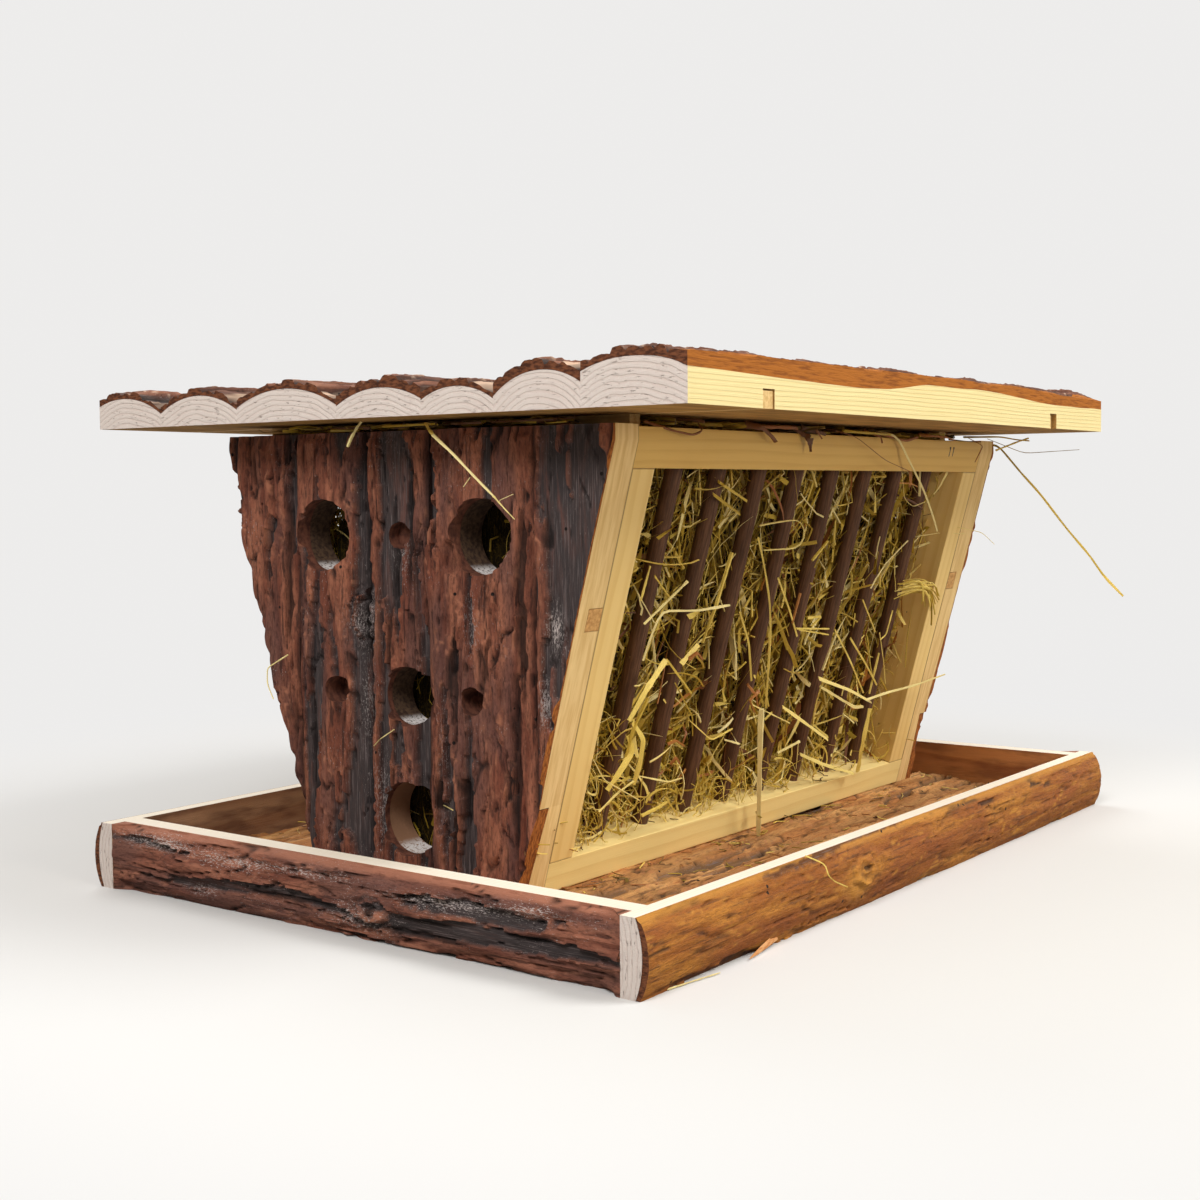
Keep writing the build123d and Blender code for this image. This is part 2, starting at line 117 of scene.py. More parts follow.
def noise(x, y, seed):
    """Gradient noise from about -1 to 1: each lattice corner's slope times the way to it, faded."""
    angle = np.random.default_rng(seed).uniform(0, 2 * np.pi, (LATTICE, LATTICE))
    column, row = np.floor(x).astype(int), np.floor(y).astype(int)
    u, v = x - column, y - row

    def corner(i, j):
        turn = angle[(column + i) % LATTICE, (row + j) % LATTICE]
        return np.cos(turn) * (u - i) + np.sin(turn) * (v - j)

    near = corner(0, 0) + fade(u) * (corner(1, 0) - corner(0, 0))
    far = corner(0, 1) + fade(u) * (corner(1, 1) - corner(0, 1))
    return 1.5 * (near + fade(v) * (far - near))


def layers(x, y, seed, count):
    """A sum of count noises, each twice as fine and half as high as the one before."""
    return sum(noise(x * 2**k, y * 2**k, seed + k) / 2**k for k in range(count))


def step(low, high, value):
    """0 below low, 1 above high, and 3t^2 - 2t^3 between them."""
    t = np.clip((value - low) / (high - low), 0, 1)
    return t * t * (3 - 2 * t)


# %% [markdown]
# ## Skins
# Most pieces here are a closed ring of points carried along a path: a slab's profile along its
# grain, a rail's section along its length. The rings make rows of quads, and a strip of quads
# closes each end. A ring of 2k points closes well if point i faces point 2k-1-i.

# %% Closed skins from rings of points


def ring_faces(stations, count):
    """Quads between neighbouring rings, then a strip of quads across the first and last ring."""
    index = np.arange(stations * count).reshape(stations, count)
    ahead = np.roll(index, -1, 1)
    sides = np.stack([index[:-1], index[1:], ahead[1:], ahead[:-1]], -1).reshape(-1, 4)
    half = np.arange(count // 2 - 1)
    strip = np.stack([half, half + 1, count - 2 - half, count - 1 - half], -1)
    caps = np.concatenate([strip, strip[:, ::-1] + index[-1, 0]])
    return sides, caps


def volume(points, faces):
    """Signed volume: the sum over both triangles of each quad of their corners' triple product."""
    a, b, c, d = (points[faces[:, k]] for k in range(4))
    return (np.cross(b, c) * a + np.cross(c, d) * a).sum() / 6


def mesh_from(name, points, faces, smooth=True, crease=40):
    """An object from points in millimetres and quads, turned so that its faces point outwards."""
    if volume(points, faces) < 0:
        faces = faces[:, ::-1]
    mesh = bpy.data.meshes.new(name)
    mesh.vertices.add(len(points))
    mesh.vertices.foreach_set("co", (points * MM).ravel())
    mesh.loops.add(faces.size)
    mesh.loops.foreach_set("vertex_index", faces.ravel())
    mesh.polygons.add(len(faces))
    mesh.polygons.foreach_set("loop_start", np.arange(0, faces.size, 4))
    mesh.update(calc_edges=True)
    mesh.validate()
    if smooth:
        mesh.shade_smooth()
        mesh.set_sharp_from_angle(angle=np.radians(crease))
    made = bpy.data.objects.new(name, mesh)
    bpy.context.scene.collection.objects.link(made)
    return made


# %% Tying a piece to its body, and its materials


def place(made, body, replaced=(), slot=None):
    """Ties a finished piece to its body and hides the nodes that it stands for; slot is not used.
    """
    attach(made, body)
    if replaced:
        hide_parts(*replaced)


def skin(name, rings, materials, body, replaced=(), slot=None, crease=40):
    """A piece whose rings (stations x count x 3) are closed by strips; the ends get material 1."""
    stations, count = rings.shape[:2]
    sides, caps = ring_faces(stations, count)
    made = mesh_from(name, rings.reshape(-1, 3), np.concatenate([sides, caps]), crease=crease)
    for finish in materials:
        made.data.materials.append(finish)
    if len(materials) > 1:
        index = np.zeros(len(sides) + len(caps), np.int32)
        index[len(sides):] = 1
        made.data.polygons.foreach_set("material_index", index)
    place(made, body, replaced, slot)
    return made


def write_attribute(made, name, values):
    """Stores one number or one vector per vertex for the materials to read."""
    kind = "FLOAT" if values.ndim == 1 else "FLOAT_VECTOR"
    field = "value" if values.ndim == 1 else "vector"
    attribute = made.data.attributes.new(name, kind, "POINT")
    attribute.data.foreach_set(field, values.astype(np.float32).ravel())


# %% [markdown]
# ## Shader nodes in words
# A material is a small graph of nodes. A few helpers keep it readable: add makes a node and fills
# its inputs from numbers or from other nodes, plus, less and times do arithmetic on them, and
# group starts a node group with named sockets. A socket knows its own tree, so a step on sockets
# needs no word about where it belongs.
# Colours are written as they look on a screen, 0 to 255, and turned into the linear values that
# the renderer adds and multiplies.

# %% Nodes, and sums with them


def paint(red, green, blue):
    """A screen colour as linear light: ((c + 0.055) / 1.055) ^ 2.4 for c from 0 to 1."""
    c = np.array([red, green, blue]) / 255
    linear = np.where(c <= 0.04045, c / 12.92, ((c + 0.055) / 1.055) ** 2.4)
    return (*linear.tolist(), 1.0)


def fill(socket, value):
    """Links another socket into this one, or sets this one to a plain value."""
    if isinstance(value, bpy.types.NodeSocket):
        socket.id_data.links.new(value, socket)
    else:
        socket.default_value = value


def add(tree, kind, inputs=None, **settings):
    """Adds a shader node, with its settings, and its inputs from sockets or plain values."""
    made = tree.nodes.new("ShaderNode" + kind)
    for name, value in settings.items():
        setattr(made, name, value)
    for name, value in (inputs or {}).items():
        fill(made.inputs[name], value)
    return made


def tree_of(*values):
    """The node tree of the first socket among the values."""
    return next(value.id_data for value in values if isinstance(value, bpy.types.NodeSocket))


def math(operation, *values):
    """One arithmetic step on numbers or sockets."""
    return add(tree_of(*values), "Math", dict(enumerate(values)), operation=operation).outputs[0]


plus, less, times = (partial(math, name) for name in ("ADD", "SUBTRACT", "MULTIPLY"))
larger, smaller = partial(math, "MAXIMUM"), partial(math, "MINIMUM")


def mix(share, first, second):
    """A colour between two others, by a share from 0 to 1."""
    made = add(tree_of(share, first, second), "Mix", {"Factor": share}, data_type="RGBA")
    for name, value in (("A", first), ("B", second)):
        fill([s for s in made.inputs if s.name == name and s.type == "RGBA"][0], value)
    return [s for s in made.outputs if s.type == "RGBA"][0]


def ramp(value, low, high):
    """0 where value is below low, 1 above high, smooth between."""
    inputs = {"Value": value, "From Min": low, "From Max": high}
    return add(value.id_data, "MapRange", inputs, interpolation_type="SMOOTHSTEP").outputs[0]


# %% Noise textures, groups and materials


def clouds(vector, scale=1.0, detail=3.0, rough=0.55, distortion=0.0):
    """Noise texture, 0 to 1."""
    inputs = {"Vector": vector, "Scale": scale, "Detail": detail, "Roughness": rough,
              "Distortion": distortion}
    return add(vector.id_data, "TexNoise", inputs).outputs["Fac"]


def stretched(vector, factors, detail=3.0, rough=0.55, distortion=0.0, scale=1.0):
    """Noise texture with a factor of its own along each direction, so that it gets longer."""
    long = add(vector.id_data, "VectorMath", {0: vector, 1: factors}, operation="MULTIPLY")
    return clouds(long.outputs[0], scale, detail, rough, distortion)


def group(name, inputs, outputs):
    """A new node group: its tree, its input sockets by name, and its output node."""
    tree = bpy.data.node_groups.new(name, "ShaderNodeTree")
    kinds = {"Color": "NodeSocketColor", "Float": "NodeSocketFloat", "Vector": "NodeSocketVector"}
    for direction, sockets in (("INPUT", inputs), ("OUTPUT", outputs)):
        for socket, kind in sockets.items():
            tree.interface.new_socket(socket, in_out=direction, socket_type=kinds[kind])
    start = tree.nodes.new("NodeGroupInput")
    end = tree.nodes.new("NodeGroupOutput")
    return tree, start.outputs, end.inputs


def use(tree, node_group, **inputs):
    """Puts a node group into a material, each input named with _ for a space."""
    made = add(tree, "Group", node_tree=node_group)
    for name, value in inputs.items():
        fill(made.inputs[name.replace("_", " ")], value)
    return made.outputs


def material(name, roughness, specular=0.3):
    """A new material: the material, its tree, and its Principled shader."""
    made = bpy.data.materials.new(name)
    made.use_nodes = True
    shader = made.node_tree.nodes["Principled BSDF"]
    shader.inputs["Roughness"].default_value = roughness
    shader.inputs["Specular IOR Level"].default_value = specular
    return made, made.node_tree, shader


def coat(shader, colour, height, millimetres):
    """Gives a shader its colour, and raises its surface by height (0 to 1) times a depth."""
    fill(shader.inputs["Base Color"], colour)
    inputs = {"Height": height, "Distance": millimetres * MM}
    fill(shader.inputs["Normal"], add(shader.id_data, "Bump", inputs).outputs[0])


def attribute(tree, name, output="Vector"):
    """Reads what a piece's mesh stores for each vertex."""
    return add(tree, "Attribute", attribute_name=name).outputs[output]


def own_place(tree):
    """The place on a piece in the piece's own coordinates, in metres."""
    return add(tree, "TexCoord").outputs["Object"]


# %% [markdown]
# ## Wood with year rings
# A board is cut out of a log, so its pattern isn't painted on: it is where the saw met the rings.
# Each wood piece stores every vertex's place in its own log, in millimetres: along the grain,
# then sideways and upwards from the heart. The distance from the heart gives the rings. On a sawn
# end they show as arcs, and on a sawn side as long lines, from one and the same group.

# %% The wood group
wood_group, given, result = group(
    "log wood",
    {"Place": "Vector", "Early": "Color", "Late": "Color", "Ring": "Float", "Contrast": "Float",
     "Waver": "Float"},
    {"Colour": "Color", "Height": "Float"})
here = given["Place"]
parts = add(wood_group, "SeparateXYZ", {"Vector": here}).outputs
from_heart = math("SQRT", plus(math("POWER", parts["Y"], 2.0), math("POWER", parts["Z"], 2.0)))
drift = stretched(here, (0.006, 0.03, 0.03), 2.0)
wandering = times(less(drift, 0.5), given["Waver"])
through = math("FRACT", math("DIVIDE", plus(from_heart, wandering), given["Ring"]))
late = times(ramp(through, 0.35, 0.88), less(1.0, ramp(through, 0.9, 1.0)))
fibre = stretched(here, (0.03, 1.6, 1.6), 4.0, 0.7)
patch = stretched(here, (0.012, 0.05, 0.05), 2.0)
share = plus(times(late, given["Contrast"]), times(less(fibre, 0.5), 0.5))
share = plus(share, times(less(patch, 0.5), 0.5))
share = larger(smaller(share, 1.0), 0.0)
fill(result["Colour"], mix(share, given["Early"], given["Late"]))
fill(result["Height"], less(fibre, times(late, 0.4)))

# %% [markdown]
# One function makes every wood finish from that group. End grain is paler and duller, and the saw
# leaves short dark tears in it that run along the rings.

# %% Wood finishes
PALE_END = paint(244, 231, 224)
SAW_TEAR, SAW_CHALK, SEAM_SHADE = paint(120, 88, 74), paint(247, 240, 232), paint(92, 58, 30)


def wood(name, early, late, ring=2.6, contrast=0.55, waver=3.0, roughness=0.6, depth=0.25,
         tears=0.0, stain=None, stain_share=0.5, seam_shading=False):
    """A sawn or planed wood finish: tears darken end grain, stain is a blotchy hue, and the seam
    option paints shade on the edges that meet another piece."""
    made, tree, shader = material(name, roughness)
    at = attribute(tree, "log place")
    grain = use(tree, wood_group, Place=at, Early=early, Late=late, Ring=ring,
                Contrast=contrast, Waver=waver)
    colour, height = grain["Colour"], grain["Height"]
    if tears:
        torn = times(ramp(stretched(at, (0.2, 0.22, 1.3), 2.0, 0.5), 0.64, 0.70), tears)
        chalk = ramp(clouds(at, 0.9), 0.52, 0.7)
        colour = mix(times(chalk, 0.5), mix(torn, colour, SAW_TEAR), SAW_CHALK)
        height = less(height, times(torn, 2.0))
    if stain:
        blotch = ramp(stretched(at, (0.02, 0.08, 0.08)), 0.4, 0.62)
        colour = mix(times(blotch, stain_share), colour, stain)
    # Painted shade: the edges where a stick meets another piece are darkened, as shade in the
    # joint.
    if seam_shading:
        colour = mix(times(attribute(tree, "seam", "Fac"), 0.7), colour, SEAM_SHADE)
    coat(shader, colour, height, depth)
    return made


end_grain = wood("sawn end grain", PALE_END, paint(224, 200, 190), 3.0, 0.36, 7.0, 0.85, 0.5, 0.5)
sawn_edge = wood("sawn edge", paint(243, 228, 170), paint(226, 197, 130), 2.2, 0.45, 4.0)
fresh_edge = wood("fresh top edge", paint(255, 247, 232), paint(244, 226, 198), 2.4, 0.4, 3.0, 0.7)
pine_end = wood("pine end grain", paint(214, 176, 122), paint(176, 128, 80), 4.0, 0.6, 2.0, 0.8,
                0.3)
# The top rails' golden pine is darker than the rest: painted shade from the roof above them.
planed_pine, pale_pine, shaded_golden_pine = (
    wood(name, early, late, 5.5, 0.28, 6.0, 0.5, 0.1, seam_shading=True) for name, early, late in (
        ("planed pine", paint(245, 212, 140), paint(217, 172, 92)),
        ("pale pine", paint(251, 227, 156), paint(225, 188, 110)),
        ("shaded golden pine", paint(226, 186, 106), paint(199, 151, 70))))
inner_face = wood("sawn inner face", paint(204, 142, 88), paint(158, 96, 54), 4.5, 0.6, 8.0, 0.75,
                  0.4, stain=paint(116, 70, 46), stain_share=0.6)
grey_inner_face = wood("weathered inner face", paint(174, 138, 108), paint(136, 94, 68), 4.5, 0.6,
                       8.0, 0.75, 0.4, stain=paint(98, 68, 56), stain_share=0.7)
roof_under = wood("roof underside", paint(204, 160, 94), paint(168, 122, 66), 5.0, 0.4, 8.0, 0.75,
                  0.3, stain=paint(136, 100, 56), stain_share=0.5)

# %% [markdown]
# ## Bark
# Real bark tears off in flakes. Where the reddish outer flakes are gone, smooth charcoal stripes
# show, and where they tore last, the wound is orange. The mesh carries the shape of this in steps
# of about a millimetre, and stores three masks with it: how much stripe, how much fresh wound and
# how much painted shade lies in the cracks, valleys and seams at each vertex. The material reads
# them, so colour and relief always agree.

# %% The bark group
PIT, STREAK, SCRATCH, INSECT_HOLE, LICHEN, CRACK_SHADE = (
    paint(52, 34, 31), paint(58, 36, 31), paint(112, 102, 102), paint(20, 12, 10),
    paint(202, 190, 186), paint(24, 16, 14))
HUES = ("Flake", "Pale", "Tint", "Stripe", "Wound")
bark_group, given, result = group(
    "torn bark",
    {"Place": "Vector", "Masks": "Vector", **dict.fromkeys(HUES, "Color"),
     **dict.fromkeys(("Lichen", "Specks", "Pits"), "Float")},
    {"Colour": "Color", "Height": "Float"})
masks = add(bark_group, "SeparateXYZ", {"Vector": given["Masks"]}).outputs
here = given["Place"]
long_noise = stretched(here, (0.016, 0.12, 0.12), 5.0, 0.6, 0.4)
fine = stretched(here, (0.22, 0.8, 0.8), 5.0, 0.7)
wide_noise = stretched(here, (0.010, 0.05, 0.05), 2.0)
scratch = stretched(here, (0.05, 1.5, 1.5), 3.0, 0.6)

colour = mix(ramp(long_noise, 0.38, 0.66), given["Flake"], given["Pale"])
colour = mix(times(ramp(wide_noise, 0.44, 0.62), 0.7), colour, given["Tint"])
colour = mix(times(ramp(fine, 0.56, 0.34), given["Pits"]), colour, PIT)
streak = times(ramp(stretched(here, (0.03, 0.42, 0.42), 4.0, 0.6), 0.44, 0.34),
               smaller(times(given["Pits"], 1.5), 0.85))
colour = mix(streak, colour, STREAK)
colour = mix(times(masks["Y"], 0.75), colour, given["Wound"])
stripe = mix(ramp(long_noise, 0.5, 0.72), given["Stripe"], given["Tint"])
stripe = mix(ramp(scratch, 0.5, 0.72), stripe, SCRATCH)
colour = mix(times(masks["X"], 0.93), colour, stripe)
spots = add(bark_group, "TexVoronoi", {"Vector": here, "Scale": 0.06},
            feature="F1").outputs["Distance"]
colour = mix(ramp(spots, 0.075, 0.05), colour, INSECT_HOLE)

crumbs = plus(stretched(here, (0.35, 1.1, 1.1), 3.0, 0.8, scale=1.3), times(given["Specks"], 0.13))
beside = times(times(masks["X"], 4.0), less(1.0, masks["X"]))
where = larger(ramp(clouds(here, 0.030, 2.0), 0.50, 0.62), times(beside, 0.8))
lichen = times(times(ramp(crumbs, 0.62, 0.70), larger(where, given["Specks"])), given["Lichen"])
colour = mix(lichen, colour, LICHEN)
# Painted shade: the depth mask darkens cracks, valleys, knot rings, dents and slab seams to near
# black.
fill(result["Colour"], mix(times(masks["Z"], 0.88), colour, CRACK_SHADE))
fill(result["Height"], plus(fine, times(scratch, 0.5)))


def bark(name, *hues, lichen=0.8, roughness=0.82, depth=0.7, pits=0.34):
    """A bark finish in its five HUES, with pale specks, insect holes and small dark pits."""
    made, tree, shader = material(name, roughness, 0.25)
    skinned = use(tree, bark_group, Place=attribute(tree, "bark place"),
                  Masks=attribute(tree, "bark masks"), Lichen=lichen, Pits=pits,
                  Specks=attribute(tree, "bark specks", "Fac"), **dict(zip(HUES, hues)))
    coat(shader, skinned["Colour"], skinned["Height"], depth)
    return made


CHARCOAL, MAUVE = paint(60, 56, 57), paint(104, 72, 66)
gable_finish = bark("gable bark", paint(120, 68, 52), paint(166, 106, 82), MAUVE, CHARCOAL,
                    paint(184, 122, 94), pits=0.55)
roof_finish = bark("roof bark", paint(114, 69, 52), paint(164, 112, 88), paint(98, 70, 60),
                   paint(74, 64, 60), paint(236, 204, 178))
end_board_finish = bark("end board bark", paint(126, 75, 59), paint(170, 111, 88), MAUVE, CHARCOAL,
                        paint(178, 120, 96), lichen=1.0, pits=0.5)
long_board_finish = bark("long board bark", paint(156, 92, 36), paint(192, 128, 52),
                         paint(148, 82, 38), paint(96, 56, 28), paint(206, 146, 64),
                         lichen=0.1, roughness=0.6, depth=0.8, pits=0.34)
floor_finish = bark("floor bark", paint(182, 122, 70), paint(224, 170, 108), paint(164, 118, 70),
                    paint(108, 80, 54), paint(188, 128, 88), lichen=0.5)

# %% [markdown]
# Where the saw went through bark, the cut is orange-brown and layered. These faces come out of a
# boolean cut and store no masks, so their finish uses the piece's own coordinates. The walls of
# the drilled holes are painted dark as shade, less so in the lowest hole, and what faces up gets
# pale specks of painted light, as if lit from above.

# %% Cut faces


def plain(name, low, high, stretch, depth=0.3, roughness=0.85, edges=(0.35, 0.65)):
    """A finish in two hues from noise on the piece's own coordinates, stretched along the grain."""
    made, tree, shader = material(name, roughness, 0.2)
    pattern = stretched(own_place(tree), stretch, 4.0, 0.6)
    coat(shader, mix(ramp(pattern, *edges), low, high), pattern, depth)
    return made


cut_bark = plain("cut bark", paint(118, 66, 32), paint(182, 112, 54), (900, 900, 120), 0.5)
roof_edge_bark = plain("roof edge bark", paint(138, 80, 33), paint(174, 106, 42), (70, 700, 700),
                       0.5, edges=(0.32, 0.56))
dark_cut_bark = plain("dark cut bark", paint(72, 42, 30), paint(130, 80, 54), (300, 260, 700))
cut_wood = plain("cut wood", paint(224, 188, 126), paint(242, 211, 152), (420, 110, 9), 0.1)
drilled_bark = plain("drilled bark", paint(76, 46, 38), paint(118, 74, 58), (300, 200, 200))
gable_batten_finish, roof_batten_finish = (
    plain(name, low, high, (420, 25, 420), 0.2, 0.6) for name, low, high in (
        ("gable batten pine", paint(190, 140, 84), paint(222, 176, 114)),
        ("roof batten pine", paint(212, 174, 112), paint(234, 202, 144))))

# %% Drilled wood: painted shade on the walls, and painted light on what faces up
LOWEST_HOLE_TOP = (0.095, 0.085)
shaded_drilled_wood = plain("shaded drilled wood", paint(60, 44, 36), paint(98, 76, 58), (420, 420, 420), 0.4)
# Painted shade: the hole walls are dark brown, paler below the top of the lowest hole; painted
# light: pale specks where a wall faces up.
tree = shaded_drilled_wood.node_tree
base = tree.nodes["Principled BSDF"].inputs["Base Color"]
facing = add(tree, "SeparateXYZ", {"Vector": add(tree, "NewGeometry").outputs["Normal"]})
painted_light_specks = times(ramp(clouds(own_place(tree), 620.0, 3.0, 0.7), 0.36, 0.50),
             ramp(facing.outputs["Z"], 0.72, 0.93))
height = add(tree, "SeparateXYZ", {"Vector": own_place(tree)}).outputs["Z"]
hue = mix(ramp(height, *LOWEST_HOLE_TOP), base.links[0].from_socket, paint(150, 112, 86))
fill(base, mix(painted_light_specks, hue, paint(236, 230, 228)))

# %% Stained rods and wire
rod_finish, tree, shader = material("stained rod", 0.65)
streaks = stretched(attribute(tree, "log place"), (0.06, 0.9, 0.9), 4.0, 0.65)
hue = mix(ramp(streaks, 0.38, 0.68), paint(80, 54, 38), paint(112, 78, 56))
coat(shader, hue, streaks, 0.15)

wire, tree, shader = material("steel wire", 0.5)
dull = clouds(own_place(tree), 900.0, 2.0)
fill(shader.inputs["Base Color"], mix(dull, paint(70, 66, 64), paint(128, 122, 116)))
shader.inputs["Metallic"].default_value = 1.0

# %% [markdown]
# ## The shape of bark
# Seven things shape it. Flutes: the valleys lie along the lines where a noise is zero, so
# the ridges between them are round and the valleys sharp. Channels: where the outer bark fell
# off, a smooth charcoal floor lies 2 mm lower behind a crisp edge. Ledges: smooth noise rounded
# to whole steps gives plates that overlap. Cracks: thin valleys. Knots: ripples around a point,
# which push the flutes aside. Dents: places where a piece broke out, or a cleft opened. Peeled
# patches: their relief stays and their hue turns pale. All but the knots are stretched along the
# grain. The same function gives the masks that the materials read, so hue and relief agree.

# %% Soft hills

def spread(along, across, spots):
    """A sum of soft round hills: each spot is its place, its two sizes and its height."""
    total = np.zeros_like(along)
    for at_along, at_across, size_along, size_across, amount in spots:
        reach = ((along - at_along) / size_along) ** 2 + ((across - at_across) / size_across) ** 2
        total = total + amount * np.exp(-reach)
    return total


# %% Relief and masks
CHANNEL_DEPTH = 2.0


def bark_relief(along, across, seed, channels=0.3, ledges=0.6, flutes=2.2, crack=2.2, knots=(),
                dents=(), stains=(), peeled=(), grain=1.0, wide=1.0):
    """Relief in mm and three masks (channel, wound, depth) over places along and across. The depth
    mask is painted shade: it darkens the crevices, valleys, knot rings and dents. Channels to crack
    say how much there is of each; knots to peeled are lists of places; grain and wide stretch the
    pattern both ways."""
    bend = 4 * layers(along / (75 * grain), across / 45, seed, 2)
    bend = bend + 0.8 * noise(along / 14, across / 9, seed + 8)
    ripple, heart, bare = np.zeros((3, *along.shape))
    for place_along, place_across, size, strength in knots:
        a, c = along - place_along, across - place_across
        rough = 0.17 * size * noise(along / 6, across / 6, seed + 2)
        reach = np.sqrt((a / 1.4) ** 2 + c**2) + rough
        close = np.exp(-((reach / size) ** 2))
        bend = bend - 1.1 * size * close * np.tanh(c / 3)
        wave = reach * 12 / size
        ripple = ripple + strength * close * (1.5 * np.cos(wave) + 2.2)
        heart = np.maximum(heart, strength * close * step(0.2, 0.9, -np.cos(wave)))
        bare = np.maximum(bare, 1.4 * np.exp(-((a + size * 0.6) / size) ** 2
                                             - ((c + size * 0.5) / (0.6 * size)) ** 2))
    c, a = across + bend, along + 6 * noise(along / 30, across / 12, seed + 9)

    ridge = np.abs(layers(a / (105 * grain), c / (11 * wide), seed + 20, 2))
    height = flutes * (1 - np.exp(-ridge / 0.22))
    open_here = step(0.0, 0.3, noise(a / 60, c / 20, seed + 24) + 0.15)
    valley = np.exp(-((ridge / 0.035) ** 2)) * open_here

    rag = 0.10 * layers(along / 9, across / 4, seed + 44, 2)
    edge = layers(a / (170 * grain), c / (10.5 * wide), seed + 40, 2) + (channels - 0.5) * 1.2 + rag
    edge = edge + spread(along, across, stains)
    channel = step(0.0, 0.07, edge)
    lip = np.exp(-(((edge + 0.05) / 0.06) ** 2))
    line = noise(along / 60, across / 1.3, seed + 47)
    height = height * (1 - 0.85 * channel) - CHANNEL_DEPTH * channel
    height = height + 0.5 * lip + 0.25 * channel * line

    tread = 2.6 * layers(a / (58 * grain), c / (13 * wide), seed + 30, 3) + 0.5 * rag
    whole = np.floor(tread)
    plates = whole + step(0.0, 0.16, tread - whole)
    flaky = (1 - channel) * step(-0.35, 0.3, noise(along / 70, across / 25, seed + 33) + 0.1)
    height = height + ledges * plates * flaky
    wound = np.exp(-(((tread - whole - 0.10) / 0.12) ** 2)) * flaky
    wound = np.maximum(wound * step(-0.1, 0.4, noise(along / 25, across / 8, seed + 31)),
                       bare.clip(0, 1) * (1 - channel))

    line = np.abs(layers(a / (70 * grain), c / (12 * wide), seed + 50, 2))
    line = line + 0.6 * step(0.0, 0.4, noise(a / 45, c / 16, seed + 53) + 0.12)
    crevice = np.exp(-((line / 0.05) ** 2))
    grit = 0.22 * layers(along / 8, across / 2.4, seed + 60, 3)
    height = height + (1 - 0.6 * channel) * grit + ripple - crack * crevice - 0.9 * valley
    # Painted shade: the depth mask is dark in the crevices, the flute valleys and the knot's rings.
    shown = min(crack / 1.6, 1.0)
    depth = np.maximum(shown * np.maximum(crevice, 0.75 * valley), 0.4 * heart)
    # Painted shade: each dent is sunk and darkened inside, as shade in the hollow.
    for place_along, place_across, size_along, size_across, deep, dent_shade in dents:
        reach = np.hypot((along - place_along) / size_along,
                         (across - place_across + 1.2 * noise(along / 24, across / 40, seed + 4))
                         / size_across)
        inside = step(1.0, 0.7, reach + rag)
        height = height - deep * inside
        depth = np.maximum(depth, dent_shade * inside)
    thin = spread(along, across, peeled) + 0.3 * noise(along / 40, across / 2.5, seed + 5)
    off = step(0.45, 0.6, thin)
    wound = np.maximum(wound, off)
    depth = depth * (1 - 0.8 * off)
    channel = channel * (1 - off)
    masks = np.stack([np.maximum(channel * (1 - 0.5 * lip), 0.6 * heart), wound, depth], -1)
    return height, masks


# %% [markdown]
# ## One slab
# A slab is two skins. The wood's ring is its flat sawn face and the arc above it. The bark's ring
# is that arc again and the torn outer surface. Both arcs are read from the CAD node's own end
# face, so the skins stay where the solids are. A log's heart lies below the arc: for a slab of
# width w whose arc rises by h, the log's radius is (w^2 / 4 + h^2) / 2h.

# %% Profiles read from the solids


def arc_of(name, axes, across, under):
    """The line of a solid's end face that lies above another line: height by place across."""
    corners = cad_points(name) @ axes.T
    at_end = corners[:, 0] > corners[:, 0].max() - 0.01
    beside = (corners[:, 1] > across[0] - 0.01) & (corners[:, 1] < across[1] + 0.01)
    edge = corners[at_end & beside]
    edge = edge[edge[:, 2] > under(edge[:, 1]) + 1.0]
    edge = edge[np.argsort(edge[:, 1])]
    return lambda place: np.interp(place, edge[:, 1], edge[:, 2])


def no_wave(along, across):
    """A slab whose arc is the same along its whole length."""
    return np.zeros_like(along)


# %% Cutting, and finishes for single faces


def combine(piece, tool, operation):
    """A boolean of a piece and a tool; the faces that the tool leaves get its material."""
    knife = piece.modifiers.new("cut", "BOOLEAN")
    knife.operation, knife.object, knife.solver = operation, tool, "EXACT"
    knife.material_mode = "TRANSFER"
    depsgraph = bpy.context.evaluated_depsgraph_get()
    piece.data = bpy.data.meshes.new_from_object(piece.evaluated_get(depsgraph))
    piece.modifiers.clear()


def take_away(block, tool, operation="DIFFERENCE"):
    """Cuts the tool's shape out of the block (or joins them), then removes the tool."""
    combine(block, tool, operation)
    bpy.data.objects.remove(tool)


def prism(name, outline, start, end, finish, axis=X):
    """A ring of points, three numbers each, carried along an axis from start to end."""
    rings = np.array(outline, float)[None] + np.array([start, end])[:, None, None] * axis
    sides, caps = ring_faces(2, len(outline))
    made = mesh_from(name, rings.reshape(-1, 3), np.concatenate([sides, caps]), smooth=False)
    made.data.materials.append(finish)
    return made


def finish_faces(piece, direction, finish, within=0.5, facing=0.9):
    """Gives the outermost faces that look along a direction a finish of their own."""
    piece.data.materials.append(finish)
    faces = piece.data.polygons
    normals, centres = np.empty((2, len(faces) * 3))
    index = np.empty(len(faces), np.int32)
    faces.foreach_get("normal", normals)
    faces.foreach_get("center", centres)
    faces.foreach_get("material_index", index)
    reach = centres.reshape(-1, 3) @ direction / MM
    outermost = (normals.reshape(-1, 3) @ direction > facing) & (reach > reach.max() - within)
    index[outermost] = len(piece.data.materials) - 1
    faces.foreach_set("material_index", index)


# %% A slab's wood and bark
SUNK, THINNEST, LOWEST, HIGHEST = 0.2, 0.7, 0.8, 3.4
WORN_REACH, CALM_REACH, EDGE_REACH = 7, 14, 4.5


def grid(along, across, columns, rows):
    """Places along and across a slab, as two arrays."""
    return np.meshgrid(np.linspace(*along, columns), np.linspace(*across, rows), indexing="ij")


